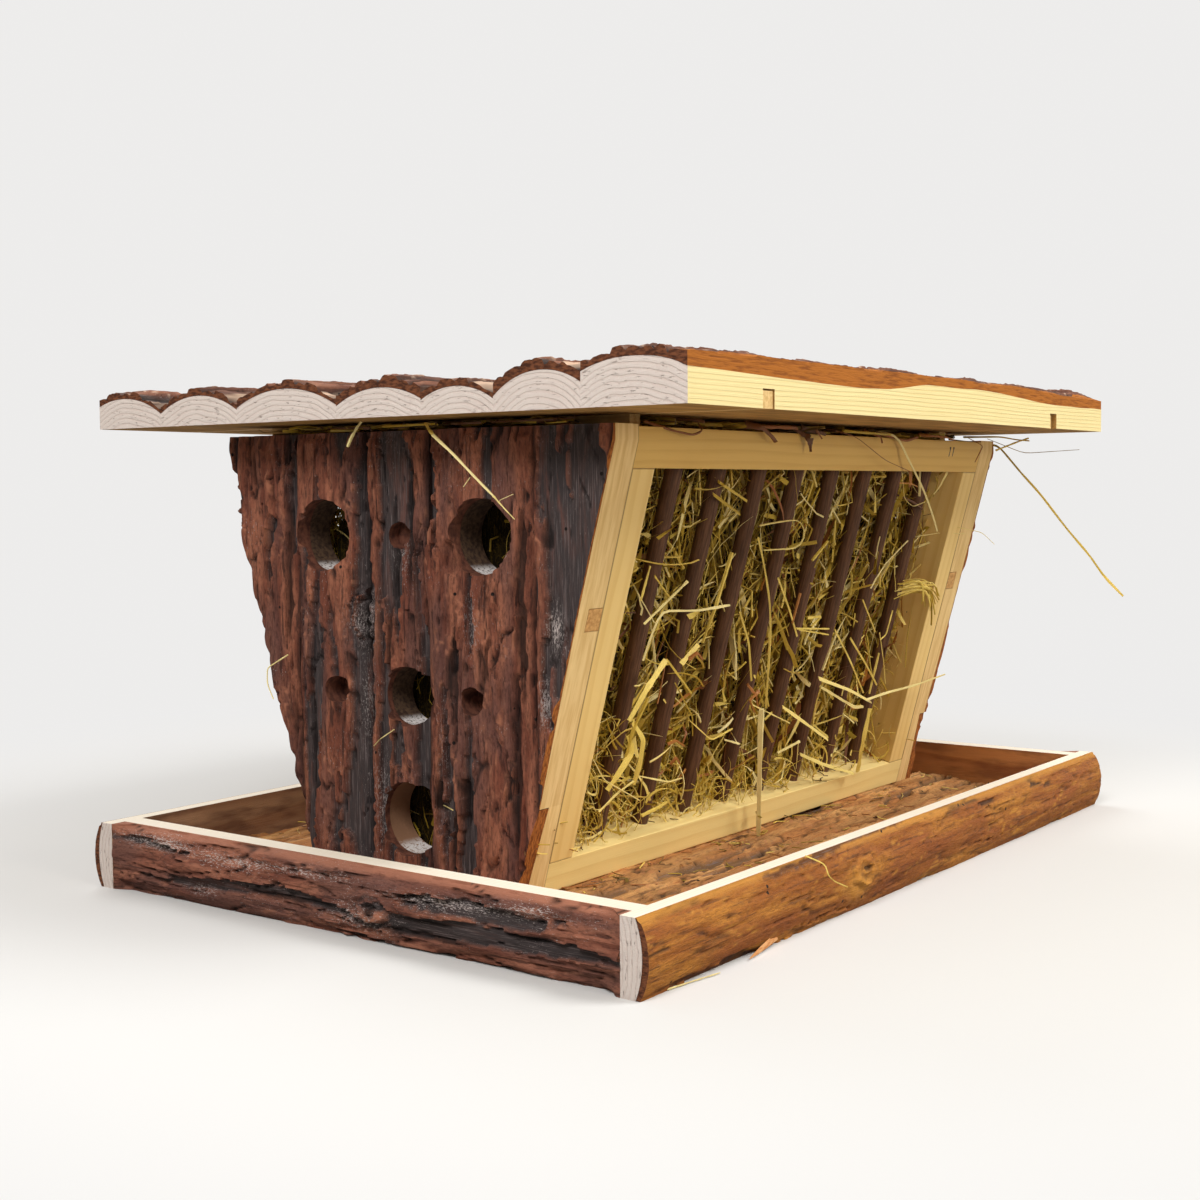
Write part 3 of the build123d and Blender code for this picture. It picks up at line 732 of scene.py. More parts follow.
def store_places(core, cover, axes, wood_arc, across, seed):
    """Stores where each vertex lies in its log. The log's radius is (w^2 / 4 + h^2) / 2h."""
    middle = np.mean(across)
    top, edge = float(wood_arc(middle)), wood_arc(np.array(across)).mean()
    width, rise = across[1] - across[0], max(top - edge, 1.0)
    heart = np.array((0, middle, top - (width**2 / 4 + rise**2) / (2 * rise)))
    for piece, label, origin in ((core, "log place", heart), (cover, "bark place", 0 * heart)):
        places = points_of(piece.data) @ axes.T - origin
        write_attribute(piece, label, places + [seed * 37.0, 0, 0])


def slab(name, axes, base, along, across, wood_node, bark_node, finishes, seed, pitch,
         body="feeder", wave=no_wave, cutters=(), operation="INTERSECT", core_step=600,
         frayed=0.0, worn_ends=1.0, calm_ends=0.0, flush=0.0, grooved=0.0, ribs=0.0, specks=(),
         sawn_side=0, **relief):
    """Makes a slab's wood and bark. Base is the sawn face's distance along the third axis, and
    pitch the size of the bark's quads. The next measures are in mm: frayed, by how much the upper
    edge of the bark is torn back; flush, the distance that the bark rises to at both ends;
    grooved, how deep it falls off towards the next slab, where the seam is also darkened as
    painted shade; ribs, how far its ribs wander, and bark lying lower than them is darkened as
    painted shade too. Worn_ends and calm_ends take bark and relief away near the ends, and
    sawn_side does so along one edge."""
    wood_arc = arc_of(wood_node, axes, across, lambda place: base)
    bark_arc = arc_of(bark_node, axes, across, wood_arc)
    wood_finish, cap_finish, bark_finish = finishes
    width, length = across[1] - across[0], along[1] - along[0]

    def wander(along_it, across_it):
        """Where the bark's ribs lie after they wander sideways by up to a few millimetres."""
        drift = noise(along_it / 85, across_it / 30, seed + 7) + 0.4 * noise(
            along_it / 22, across_it / 12, seed + 3)
        return across_it + ribs * drift

    S, T = grid(along, across, int(length / core_step) + 2, max(9, int(width / 4)))
    bottom = np.stack([S, T, np.full_like(S, base)], -1)
    top = np.stack([S, T, wood_arc(T) + wave(S, T)], -1)
    rings = np.concatenate([bottom, top[:, ::-1]], 1)
    core = skin(name + "_wood", rings @ axes, (wood_finish, cap_finish), body, (wood_node,),
                "slab_wood", 30)

    S, T = grid(along, (across[0] + 0.1, across[1] - 0.1), int(length / pitch) + 1,
                int(width / pitch) + 1)
    low = wood_arc(T) + wave(S, T) - SUNK
    rise = bark_relief(S, T, seed, **relief)[0]
    thick = bark_arc(wander(S, T)) - wood_arc(T) - wave(S, T)
    if frayed:
        torn_line = across[1] - frayed * (0.6 + 0.5 * noise(S / 14, S * 0 + 0.5, seed + 5))
        thick = thick * step(0, 1.5, torn_line - T)
    rise = rise - rise.mean() - 0.5
    rise = rise - grooved * step(EDGE_REACH, 0, np.minimum(T - across[0], across[1] - T))
    from_end = np.minimum(S - along[0], along[1] - S)
    rise = rise * (1 - calm_ends * step(CALM_REACH, 0, from_end))
    if sawn_side:
        from_side = T - across[0] if sawn_side < 0 else across[1] - T
        thinner = 1.6 - 3.2 * step(90, 270, S)
        rise = rise * (0.3 + 0.7 * step(0, 14, from_side)) + thinner * step(12, 0, from_side)
    worn = worn_ends * step(WORN_REACH, 0, from_end + 3 * noise(T / 7, S / 15, seed + 6))
    rise = rise - worn * (1.0 + np.maximum(rise, 0))
    high = low + np.maximum(thick + SUNK + np.clip(rise, LOWEST - thick, HIGHEST), THINNEST)
    if flush:
        filled = step(14, 1, from_end + 3 * noise(T / 6, S / 15, seed + 6))
        ragged = flush - 1.4 * np.abs(noise(S / 9, T / 4, seed))
        high = high + np.maximum(ragged - high, 0) * filled
    inner, outer = np.stack([S, T, low], -1), np.stack([S, T, high], -1)
    rings = np.concatenate([outer, inner[:, ::-1]], 1)
    cover = skin(name + "_rind", rings @ axes, (bark_finish, dark_cut_bark), body, (bark_node,),
                 "bark")

    for piece, cutter in zip((core, cover), cutters):
        if cutter:
            combine(piece, cutter, operation)
            piece.data.set_sharp_from_angle(angle=np.radians(40))
    store_places(core, cover, axes, wood_arc, across, seed)
    a, c = (points_of(cover.data) @ axes.T)[:, :2].T
    masks = bark_relief(a, c, seed, **relief)[1]
    channel, wound, dark = masks.T
    # Painted shade: bark lower than the ribs beside it, and bark at the seams between slabs, is
    # darkened.
    if ribs:
        at = wander(a, c)
        crest = np.maximum(bark_arc(at - 4), bark_arc(at + 4))
        dark = np.maximum(dark, 0.9 * step(0.6, 2.4, crest - bark_arc(at)))
    beside = np.minimum(c - across[0], across[1] - c)
    dark = np.maximum(dark, min(grooved, 0.9) * step(2.6, 0.6, beside))
    if frayed:
        wound = np.maximum(wound, step(4.0, 1.5, across[1] - c))
    write_attribute(cover, "bark masks", np.stack([channel, wound, dark], -1))
    write_attribute(cover, "bark specks", spread(a, c, specks))
    return core, cover


# %% [markdown]
# ## Roof
# Seven slabs lie side by side. The sawn front edge of the first one isn't straight on top: the
# log swelled at a knot, so the line between wood and bark wanders there.

# %% Roof slabs
SWELL = (-75.0, -8.0, 62.0, 190.0)
ROOF_SLABS = range(1, 8)
roof_points = cad_points("roof_slab_1")
roof_along, (roof_front, _), (roof_base, _) = (span(roof_points, axis) for axis in (X, Y, Z))


def front_wave(s, t):
    """Height in mm that the first slab's arc gains or loses near its sawn front edge: it dips,
    swells between the four places of SWELL, and levels out."""
    near = 1 - step(roof_front + 2, roof_front + 35, t)
    swell = 4.6 * (step(SWELL[0], SWELL[1], s) - step(SWELL[2], SWELL[3], s))
    left_rise = 1.8 * np.exp(-(((s + 290) / 75) ** 2)) - 1.2 * np.exp(-(((s + 114) / 45) ** 2))
    return near * (swell + left_rise + 0.4 * noise(s / 30, s * 0 + 0.5, 3))


ROOF_PEELED = {}
for number, reach, amount in ((2, 60, 1.0), (3, 75, 1.1), (5, 80, 1.2), (6, 60, 0.7), (7, 60, 0.8)):
    seam = span(cad_points(f"roof_slab_{number}"), Y)[0]
    ROOF_PEELED[number] = ((-245, seam + 7, reach, 7, amount), (90, seam + 6, 70, 5, 0.9))
GROOVE_LEFT, GROOVE_RIGHT, GROOVE_DEPTH = 4.75, 6.75, 10.0
bars = []
for side in SIDES:
    middle = np.mean(span(cad_points(f"roof_batten_{side}"), X))
    x0, x1 = middle - GROOVE_LEFT, middle + GROOVE_RIGHT
    z0, z1 = roof_base - 1, roof_base + GROOVE_DEPTH
    bars.append(prism("bar", ((x0, 0, z0), (x0, 0, z1), (x1, 0, z1), (x1, 0, z0)), -300, 300,
                      roof_under, Y))
grooves = bars[0]
take_away(grooves, bars[1], "UNION")
for number in ROOF_SLABS:
    node = f"roof_slab_{number}"
    outwards = {1: -Y, 7: Y}.get(number)
    first = {"wave": front_wave, "core_step": 5} if number == 1 else {}
    core, cover = slab(
        f"roof_{number}", np.eye(3), roof_base, roof_along, span(cad_points(node), Y), node,
        "roof_bark", (roof_under, end_grain, roof_finish), 100 + number, 1.6, "roof",
        cutters=(grooves, None), operation="DIFFERENCE", ribs=2.2, channels=0.25, ledges=0.7,
        flutes=0.8, crack=1.8, sawn_side={1: -1, 7: 1}.get(number, 0), worn_ends=0.3,
        calm_ends=0.7, peeled=ROOF_PEELED.get(number, ()), **first)
    finish_faces(core, -Z, roof_under)
    if outwards is not None:
        finish_faces(core, outwards, sawn_edge)
        finish_faces(cover, outwards, roof_edge_bark, within=7, facing=0.02)
bpy.data.objects.remove(grooves)
print("roof slabs:", roof_along, "mm long")

# %% [markdown]
# ## Tray
# The rim boards stand on edge with their sawn faces inwards. Their top edges are fresh saw cuts,
# nearly white, and the bark frays just below them. The floor's slabs lie bark up.

# %% Rim boards
END_KNOT = (-27.0, 18.0, 9.5, 1.25)
END_DENTS = (
    (-27, 18, 3.4, 2.8, 1.5, 1.0), (-66, 9, 34, 1.6, 1.6, 0.9), (40, 15, 40, 1.5, 1.6, 0.9))
END_SPECKS = (
    (-15, 12, 24, 9, 0.9), (150, 33, 40, 5, 1.2), (80, 30, 30, 4, 0.9), (-75, 28, 45, 4, 1.0),
    (-130, 33, 40, 4, 0.8), (20, 32, 40, 3, 0.9), (110, 10, 16, 5, 0.8))
FRONT_KNOT = (-83.0, 22.0, 13.0, 0.55)
FRONT_DENTS = (
    (-80, 24, 6, 1.8, 1.2, 0.9), (95, 34, 18, 1.3, 1.0, 0.9), (72, 37, 12, 1.1, 0.8, 0.8),
    (178, 33.5, 12, 1.3, 1.0, 0.9), (198, 31, 10, 1.2, 1.0, 0.85), (-292, 23, 14, 1.3, 1.2, 0.95),
    (-216, 2.5, 18, 2.6, 1.8, 0.9))
LONG_LOOK = dict(frayed=2.2, worn_ends=0.2, calm_ends=0.7, channels=0.0, ledges=0.35, flutes=0.9,
                 crack=0.9, grain=2.2, wide=1.1)
FRONT_LOOK = dict(LONG_LOOK, knots=(FRONT_KNOT,), dents=FRONT_DENTS)
SHORT_LOOK = dict(frayed=1.4, worn_ends=0.0, flush=span(cad_points("tray_front_board"), X)[1],
                  channels=0.24, ledges=1.1, flutes=2.6, crack=2.4, grain=1.4, knots=(END_KNOT,),
                  dents=END_DENTS, specks=END_SPECKS)
# Each board: along its grain, out of the tray, its seed and pitch, its two finishes, its look.
RIM_BOARDS = {
    "front": (X, -Y, 211, 1.3, inner_face, long_board_finish, FRONT_LOOK),
    "back": (X, Y, 223, 1.3, grey_inner_face, long_board_finish, LONG_LOOK),
    "left": (Y, -X, 232, 1.2, inner_face, end_board_finish, SHORT_LOOK),
    "right": (Y, X, 247, 1.2, inner_face, end_board_finish, SHORT_LOOK)}
for label, (grain, outwards, seed, pitch, inside, outside, look) in RIM_BOARDS.items():
    node = f"tray_{label}_board"
    solid = cad_points(node)
    core, _ = slab(
        f"tray_{label}", np.array([grain, Z, outwards]), span(solid, outwards)[0],
        span(solid, grain), span(solid, Z), node, f"tray_{label}_bark",
        (inside, end_grain, outside), seed, pitch, **look)
    finish_faces(core, Z, fresh_edge)
print("rim boards:", list(RIM_BOARDS))

# %% Floor slabs
for number in range(1, 6):
    node = f"floor_slab_{number}"
    solid = cad_points(node)
    slab(f"floor_{number}", np.eye(3), 0.0, span(solid, X), span(solid, Y), node, "floor_bark",
         (inner_face, end_grain, floor_finish), 300 + number, 2.2, channels=0.2, ledges=0.7,
         flutes=1.4, crack=1.6)

# %% [markdown]
# ## Gables
# Each gable is five upright slabs, sawn to the hopper's outline and drilled. The slabs are made
# straight first, and then cut by one block: the outline as a prism, less the round holes, the
# shallow drilled marks and the groove of the batten. The boolean keeps what lies inside the
# block and gives the cut faces the block's own finishes.

# %% The block that a gable is cut to
FLOOR_TOP, GABLE_TOP = span(cad_points("left_gable_slab_3"), Z)
HOPPER_FOOT, CORNER_CUT = 78.0, 145.0
GABLE_INSIDE = span(cad_points("right_gable_slab_3"), X)[0]
LARGE_HOLE, SMALL_HOLE, RECESS = 42.0, 34.0, 16.0
HOLES = ((62, 216, LARGE_HOLE), (-58, 216, LARGE_HOLE), (0, 55, LARGE_HOLE), (0, 125, SMALL_HOLE))
RECESSES = ((52, 126), (-52, 126), (6, 216))
RECESS_FLOOR = 230.0
BATTEN_GAP, BEYOND, OUTSIDE = 0.3, 5, 330.0


def hopper_half(z):
    """Half the hopper's depth at a height, over its leaning faces."""
    return HOPPER_FOOT + (z - FLOOR_TOP) * np.tan(LEAN)


def drill(block, x0, x1, y, z, size, finish):
    """Takes a round hole out of the block: 72 points on a circle, carried along X."""
    turn = (np.arange(72) + 0.5) * 2 * np.pi / 72
    outline = np.stack([0 * turn, y + size / 2 * np.cos(turn), z + size / 2 * np.sin(turn)], -1)
    take_away(block, prism("bit", outline, x0, x1, finish))


def gable_block(side, flat_finish, hole_finish, recess_finish):
    """The hopper's outline as a block on one side, drilled and grooved."""
    corner = FLOOR_TOP + (CORNER_CUT - HOPPER_FOOT) / np.tan(LEAN)
    half = ((HOPPER_FOOT, FLOOR_TOP), (CORNER_CUT, corner), (CORNER_CUT, GABLE_TOP))
    outline = [(0, y, z) for y, z in half] + [(0, -y, z) for y, z in reversed(half)]
    block = prism("block", outline, side * (GABLE_INSIDE - 1), side * OUTSIDE, flat_finish)
    for y, z, size in HOLES:
        drill(block, side * (GABLE_INSIDE - BEYOND), side * (OUTSIDE + BEYOND), y, z, size,
              hole_finish)
    for y, z in RECESSES:
        drill(block, side * RECESS_FLOOR, side * (OUTSIDE + BEYOND), y, z, RECESS, recess_finish)
    low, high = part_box(f"{'left' if side < 0 else 'right'}_gable_batten")
    z0, z1 = low.z / MM - BATTEN_GAP, high.z / MM + BATTEN_GAP
    depth = (high.x - low.x) / MM + BATTEN_GAP
    groove = ((0, 200, z0), (0, 200, z1), (0, -200, z1), (0, -200, z0))
    take_away(block, prism("groove", groove, side * (GABLE_INSIDE - BEYOND),
                           side * (GABLE_INSIDE + depth), flat_finish))
    return block


# %% Gable slabs
GABLE_LOOKS = (
    {"channels": 0.32, "ledges": 0.7, "flutes": 2.0, "wide": 1.4},
    {"channels": 0.10, "ledges": 1.4, "flutes": 3.0, "wide": 1.0},
    {"channels": 0.30, "ledges": 0.6, "flutes": 2.8, "wide": 0.9},
    {"channels": 0.24, "ledges": 1.0, "flutes": 2.8, "wide": 1.0},
    {"channels": 0.14, "ledges": 1.3, "flutes": 3.0, "wide": 1.1},
)
GABLE_KNOT = (167.0, 32.0, 11.0, 1.3)
# A broken-out hollow and clefts: height, place across, half their length and width, how deep,
# how dark their painted shade is.
GABLE_DENTS = (
    (204, -36, 11, 7, 3.5, 0.35), (228, 32, 36, 2.8, 3.4, 1.0), (205, 8, 40, 2.2, 3.0, 0.95),
    (226, -4, 46, 3.0, 3.2, 1.0), (140, -40, 44, 2.2, 2.8, 0.9), (60, -38, 42, 3.0, 3.2, 1.0),
    (62, 30, 36, 2.4, 2.8, 0.95), (150, 12, 30, 2.2, 2.8, 0.9), (180, -84, 60, 3.2, 3.0, 0.95),
    (90, -80, 60, 2.8, 3.0, 0.9), (195, 96, 50, 2.6, 3.0, 0.9), (96, 76, 50, 2.8, 3.0, 0.9))
# Where the charcoal shows, and where pale specks gather: height, place across, their reach
# both ways, and how strongly.
GABLE_STAINS = (
    (218, -118, 62, 24, 0.8), (110, -95, 60, 6, 0.7), (248, 8, 34, 15, 0.9), (200, 12, 34, 9, 0.5),
    (220, 33, 55, 6, 0.9), (165, 33, 18, 14, 0.45), (112, 33, 34, 9, 0.8), (55, 44, 40, 15, 0.9),
    (172, -53, 30, 5, 0.9), (60, -27, 42, 5, 0.8), (46, -51, 26, 5, 0.7), (97, 5, 16, 10, 0.7),
    (150, 66, 30, 8, 0.5), (150, -75, 50, 14, -0.6), (150, 115, 90, 18, -0.3))
GABLE_SPECKS = (
    (167, 33, 15, 13, 0.9), (118, 32, 30, 8, 0.9), (168, -53, 20, 6, 0.9), (167, -107, 14, 5, 1.3),
    (128, -100, 16, 4, 1.2), (205, 2, 12, 12, 0.7), (62, 20, 30, 8, 0.8), (90, -28, 40, 5, 0.7))
for label, sign in SIDES.items():
    axes = np.array([Z, Y, sign * X])
    blocks = (gable_block(sign, cut_wood, shaded_drilled_wood, drilled_bark),
              gable_block(sign, cut_bark, drilled_bark, drilled_bark))
    for number in range(1, 6):
        node = f"{label}_gable_slab_{number}"
        look = dict(GABLE_LOOKS[number - 1], dents=GABLE_DENTS, stains=GABLE_STAINS,
                    specks=GABLE_SPECKS, knots=(GABLE_KNOT,) if number in (3, 4) else ())
        core, cover = slab(
            f"{label}_gable_{number}", axes, GABLE_INSIDE, (FLOOR_TOP, GABLE_TOP),
            span(cad_points(node), Y), node, f"{label}_gable_bark",
            (inner_face, end_grain, gable_finish), 400 + 10 * number + (sign > 0), 1.25,
            cutters=blocks, grooved=2.0, **look)
        if number in (1, 5):
            outwards = {1: -Y, 5: Y}[number]
            finish_faces(core, outwards, cut_wood)
            finish_faces(cover, outwards, cut_bark)
    for block in blocks:
        bpy.data.objects.remove(block)
print("gables cut")

# %% [markdown]
# ## Barred frames
# Rails and stiles are planed pine with edges that are only just eased. Each one is its solid's
# end outline, read from the CAD node, with its corners rounded by half a millimetre and carried
# to the other end. Every stick comes from its own tree, so each gets its own place in a log.

# %% Planed sticks
SEAM = 0.9


def square_to(axis):
    """Two directions square to an axis and to each other."""
    side = np.cross(axis, Z) if abs(axis[2]) < 0.5 else X
    return side, np.cross(side, axis)


def end_outlines(name, axis):
    """The corners of a solid's two end faces along an axis, both in the same turning order."""
    corners = cad_points(name)
    reach = corners @ axis
    side, up = square_to(axis)
    outlines = []
    for limit in (reach.min(), reach.max()):
        ring = np.unique(corners[np.abs(reach - limit) < 0.3].round(2), axis=0)
        spoke = ring - ring.mean(0)
        outlines.append(ring[np.argsort(np.arctan2(spoke @ up, spoke @ side))])
    return outlines


def eased(ring, radius, count=4):
    """Rounds each corner P between points A and B near it: (1-t)^2 A + 2t(1-t) P + t^2 B."""
    to_before, to_after = unit(np.roll(ring, 1, 0) - ring), unit(np.roll(ring, -1, 0) - ring)
    A, B = ring + to_before * radius, ring + to_after * radius
    t = np.linspace(0, 1, count)[None, :, None]
    curve = (1 - t) ** 2 * A[:, None] + 2 * t * (1 - t) * ring[:, None] + t**2 * B[:, None]
    start, end = (A + to_before * SEAM)[:, None], (B + to_after * SEAM)[:, None]
    return np.concatenate([start, curve, end], 1).reshape(-1, 3)


def set_in_log(piece, axis, heart, seed):
    """Stores each vertex's place in the log, for a stick whose grain runs along an axis."""
    points = points_of(piece.data)
    local = (points - points.mean(0)) @ np.stack([axis, *square_to(axis)]).T
    write_attribute(piece, "log place", local + [seed * 53.0, *heart])


def stick(name, axis, seed, heart, radius=0.6, outside=0, finish=planed_pine):
    """A rail or stile made from its solid's two end outlines; outside is the side of X that
    meets the gable. Its ends and the edges on that side store a seam of 1, where the finish paints
    shade."""
    start, end = (eased(ring, radius) for ring in end_outlines(name, axis))
    near = SEAM / np.linalg.norm((end - start).mean(0))
    rings = np.stack([start, start + near * (end - start), end - near * (end - start), end])
    piece = skin(name + "_planed", rings, (finish, pine_end), "feeder", (name,),
                 "planed_pine", 30)
    set_in_log(piece, axis, heart, seed)
    seam = np.zeros(rings.shape[:2])
    seam[[0, -1]] = 1.0
    flat = np.arange(rings.shape[1]) % 6
    x = rings[0, :, 0] * outside
    seam[:, (flat > 0) & (flat < 5) & (x > x.mean())] = 1.0
    write_attribute(piece, "seam", seam.ravel())


for count, (label, sign) in enumerate(FACES.items()):
    up_slope, _ = leaning(sign)
    stick(f"{label}_bottom_rail", X, 1 + 9 * count, (30, 18), finish=pale_pine)
    # Painted shade: the top rail's darker pine stands for the roof's shadow on it.
    stick(f"{label}_top_rail", X, 2 + 9 * count, (-22, 46), finish=shaded_golden_pine)
    stick(f"{label}_left_stile", up_slope, 3 + 9 * count, (26, 34), outside=-1)
    stick(f"{label}_right_stile", up_slope, 4 + 9 * count, (-34, 28), outside=1)

# %% [markdown]
# ## Rods
# The rods are round sticks, stained dark. They aren't quite straight or round: a slow bow and a
# fine ripple keep them from looking turned on a lathe.

# %% Rods


def rods_along(label):
    """The places of one frame's rods along X: the middles of the groups that its corners form."""
    xs = np.sort(cad_points(f"{label}_rods")[:, 0])
    return np.array([rod.mean() for rod in np.split(xs, np.flatnonzero(np.diff(xs) > 20) + 1)])


for label, sign in FACES.items():
    up_slope, outward = leaning(sign)
    solids = cad_points(f"{label}_rods")
    reach = solids @ up_slope
    out, radius = np.mean(span(solids, outward)), np.ptp(solids @ outward) / 2
    s = np.linspace(reach.min(), reach.max(), 30)[:, None]
    turn = np.linspace(0, 2 * np.pi, 20, endpoint=False)[None, :]
    for number, x in enumerate(rods_along(label), start=1):
        seed = 500 + number + 20 * (sign > 0)
        ripple = 1 + 0.03 * noise(s / 14 + 0 * turn, 1.2 * np.cos(turn) + 0 * s + 3, seed)
        bow = 0.5 * np.sin(np.pi * (s - reach.min()) / np.ptp(reach)) * np.sin(seed * 2.4)
        width = x + bow + radius * ripple * np.cos(turn)
        depth = out + radius * ripple * np.sin(turn)
        height = s + 0 * turn
        rings = width[..., None] * X + depth[..., None] * outward + height[..., None] * up_slope
        rod = skin(f"{label}_rod_{number}", rings, (rod_finish,), "feeder", (f"{label}_rods",),
                   "rod_wood")
        set_in_log(rod, up_slope, (0, 0), seed)
    print(label, "rods:", number)

# %% [markdown]
# ## Hay
# Loose hay is thousands of cut stems and leaves, and each stays visible. Hair particles or a
# scattered object would do, but the export needs real meshes, so each strand is a four-sided
# tube of a few stations, and thousands of them are worked out as one array. Behind them a dark
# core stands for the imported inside.

# %% The finish of hay
HAY_HUES = (
    (0.00, paint(74, 56, 14)), (0.20, paint(124, 99, 28)), (0.42, paint(178, 147, 46)),
    (0.62, paint(220, 188, 72)), (0.80, paint(244, 216, 110)), (0.90, paint(251, 234, 164)),
    (0.93, paint(194, 130, 54)), (0.97, paint(156, 92, 42)), (1.00, paint(98, 60, 36)))
hay_finish, tree, shader = material("hay", 0.48, 0.45)
strand = attribute(tree, "strand")
hue = add(tree, "ValToRGB", {"Fac": add(tree, "SeparateXYZ", {"Vector": strand}).outputs["X"]})
stops = hue.color_ramp.elements
while len(stops) < len(HAY_HUES):
    stops.new(0.5)
for stop, (where, tone) in zip(stops, HAY_HUES):
    stop.position, stop.color = where, tone
along_strand = stretched(strand, (90, 3, 9), 3.0, 0.6)
veins = times(ramp(along_strand, 0.60, 0.36), 0.3)
coat(shader, mix(veins, hue.outputs["Color"], paint(96, 70, 26)), along_strand, 0.1)

# %% Many strands at once


def tubes(name, path, side, hue, width, thickness, twist=0.0, pointed=0.0, finish=hay_finish,
          node="hay_fill", slot="hay"):
    """Flat tubes round many paths (strands x stations x 3). The side that the width lies along,
    and the width, are one per strand or one per station; twist turns a tube along its way, and
    pointed narrows its far end."""
    strands_made, stations = path.shape[:2]
    s = np.linspace(-1, 1, stations)
    tangent = unit(np.gradient(path, axis=1))
    side = side if side.ndim == 3 else side[:, None]
    side = unit(side - (side * tangent).sum(-1, keepdims=True) * tangent)
    normal = np.cross(tangent, side)
    turn = (np.reshape(twist, (-1, 1)) * s)[..., None]
    side, normal = (np.cos(turn) * side + np.sin(turn) * normal,
                    np.cos(turn) * normal - np.sin(turn) * side)
    taper = 1 - 0.85 * np.reshape(pointed, (-1, 1)) * ((s + 1) / 2) ** 3
    wide = side * ((width if width.ndim == 2 else width[:, None]) * taper)[..., None] / 2
    high = normal * (thickness[:, None] * taper)[..., None] / 2
    rings = np.stack([path + wide, path + high, path - wide, path - high], 2)
    index = np.arange(strands_made * stations * 4).reshape(strands_made, stations, 4)
    ahead = np.roll(index, -1, 2)
    sides = np.stack([index[:, :-1], index[:, 1:], ahead[:, 1:], ahead[:, :-1]], -1).reshape(-1, 4)
    caps = np.concatenate([index[:, 0], index[:, -1, ::-1]])
    made = mesh_from(name, rings.reshape(-1, 3), np.concatenate([sides, caps]), crease=60)
    made.data.materials.append(finish)
    number = np.arange(strands_made)[:, None, None] * 0.37
    values = np.stack(np.broadcast_arrays(hue[:, None, None], s[None, :, None] * 2 + number,
                                          np.array([0.0, 1, 2, 3])[None, None] + number), -1)
    write_attribute(made, "strand", values.reshape(-1, 3))
    place(made, "feeder", (node,), slot)
    return made


def loose(rng, middles, headings, lengths, curl=0.5, kinked=0.3, stations=7):
    """Paths of equal steps whose heading turns a little at each, and for some sharply once."""
    headings = unit(headings)
    across = unit(np.cross(headings, rng.normal(size=headings.shape)))
    third = np.cross(headings, across)
    count, steps = len(middles), stations - 1
    turn = rng.normal(0, curl, count)[:, None] * np.linspace(-0.5, 0.5, steps)
    sharp = np.where(rng.random(count) < kinked, rng.uniform(0.4, 1.5, count), 0)[:, None]
    turn = turn + sharp * (np.arange(steps) >= rng.integers(1, steps, count)[:, None])
    side_step = rng.normal(0, 0.07, (count, steps))[..., None] * third[:, None]
    stride = (np.cos(turn)[..., None] * headings[:, None]
              + np.sin(turn)[..., None] * across[:, None] + side_step)
    path = np.concatenate([np.zeros((count, 1, 3)), np.cumsum(stride, 1)], 1)
    path = path * (lengths / steps)[:, None, None]
    return middles[:, None] + path - path.mean(1, keepdims=True), across


def sizes(rng, count, longest=75, leaves=0.22, fine=0.34, widest=4.2):
    """Lengths in mm, and the other sizes of flat blades, fine threads and cut stems."""
    kind = rng.random(count)
    length = rng.gamma(3.6, 9.0, count).clip(12, longest)
    blade, thread = kind < leaves, kind > 1 - fine
    width = np.where(blade, rng.uniform(1.6, 3.6, count), rng.uniform(0.9, 1.9, count))
    width = np.where(thread, rng.uniform(0.4, 0.9, count), width)
    length = np.where(blade, length + 8, length)
    shape = {"width": width.clip(0, widest), "thickness": np.where(blade, 0.35, width * 0.7),
             "twist": np.where(blade, rng.normal(0, 0.7, count), 0.0),
             "pointed": (rng.random(count) < 0.7).astype(float)}
    return length, shape


# %% Hay behind the bars
RAIL_TOP, TOP_RAIL_FOOT = 35.0, 252.0
INSIDE_X, HAY_LOW, HAY_HIGH = 211, 20, 262
DRY_SHARE = 0.07


def on_face(sign, x, z, depth):
    """A point at a height on a leaning face, moved in by a depth square to that face."""
    y = sign * (hopper_half(z) - depth / np.cos(LEAN))
    return np.stack([x, y, z + 0 * x], -1)


def face_layer(name, label, count, rng, depths, shades, x=None, push=0.16, longest=75, low=28.0,
               **habit):
    """Strands spread over one leaning face between two depths, brighter towards the outside: the
    deeper strands get darker tones as painted shade. None of them comes out of the face, and a
    small share is dry and brown."""
    sign = FACES[label]
    up_slope, outward = leaning(sign)
    length, shape = sizes(rng, count, longest)
    x = rng.uniform(-203, 203, count) if x is None else x
    z = low + (TOP_RAIL_FOOT + 4 - low) * rng.random(count) ** 1.15
    inwards = rng.random(count) ** 1.2
    depth = depths[0] + (depths[1] - depths[0]) * inwards
    turn = rng.normal(np.pi / 2, 0.85, count)
    tilt = rng.normal(0, push, count)
    heading = turned(turn, X, up_slope) + tilt[:, None] * outward
    path, across = loose(rng, on_face(sign, x, z, depth), heading, length, **habit)
    reach = np.abs(path[..., 1]) - hopper_half(path[..., 2]) + 2.0
    path[..., 1] -= sign * np.maximum(reach, 0)
    path[..., 0] = path[..., 0].clip(-INSIDE_X, INSIDE_X)
    path[..., 2] = path[..., 2].clip(HAY_LOW, HAY_HIGH)
    # Painted shade: the deeper a strand lies, the darker its tone.
    shade = shades[0] + (shades[1] - shades[0]) * inwards + 0.2 * rng.normal(size=count)
    dry = rng.random(count) < DRY_SHARE
    shade = np.where(dry, rng.uniform(0.93, 1, count), shade.clip(0.02, 0.9))
    tubes(name, path, across + 1.5 * rng.normal(size=across.shape), shade, **shape)


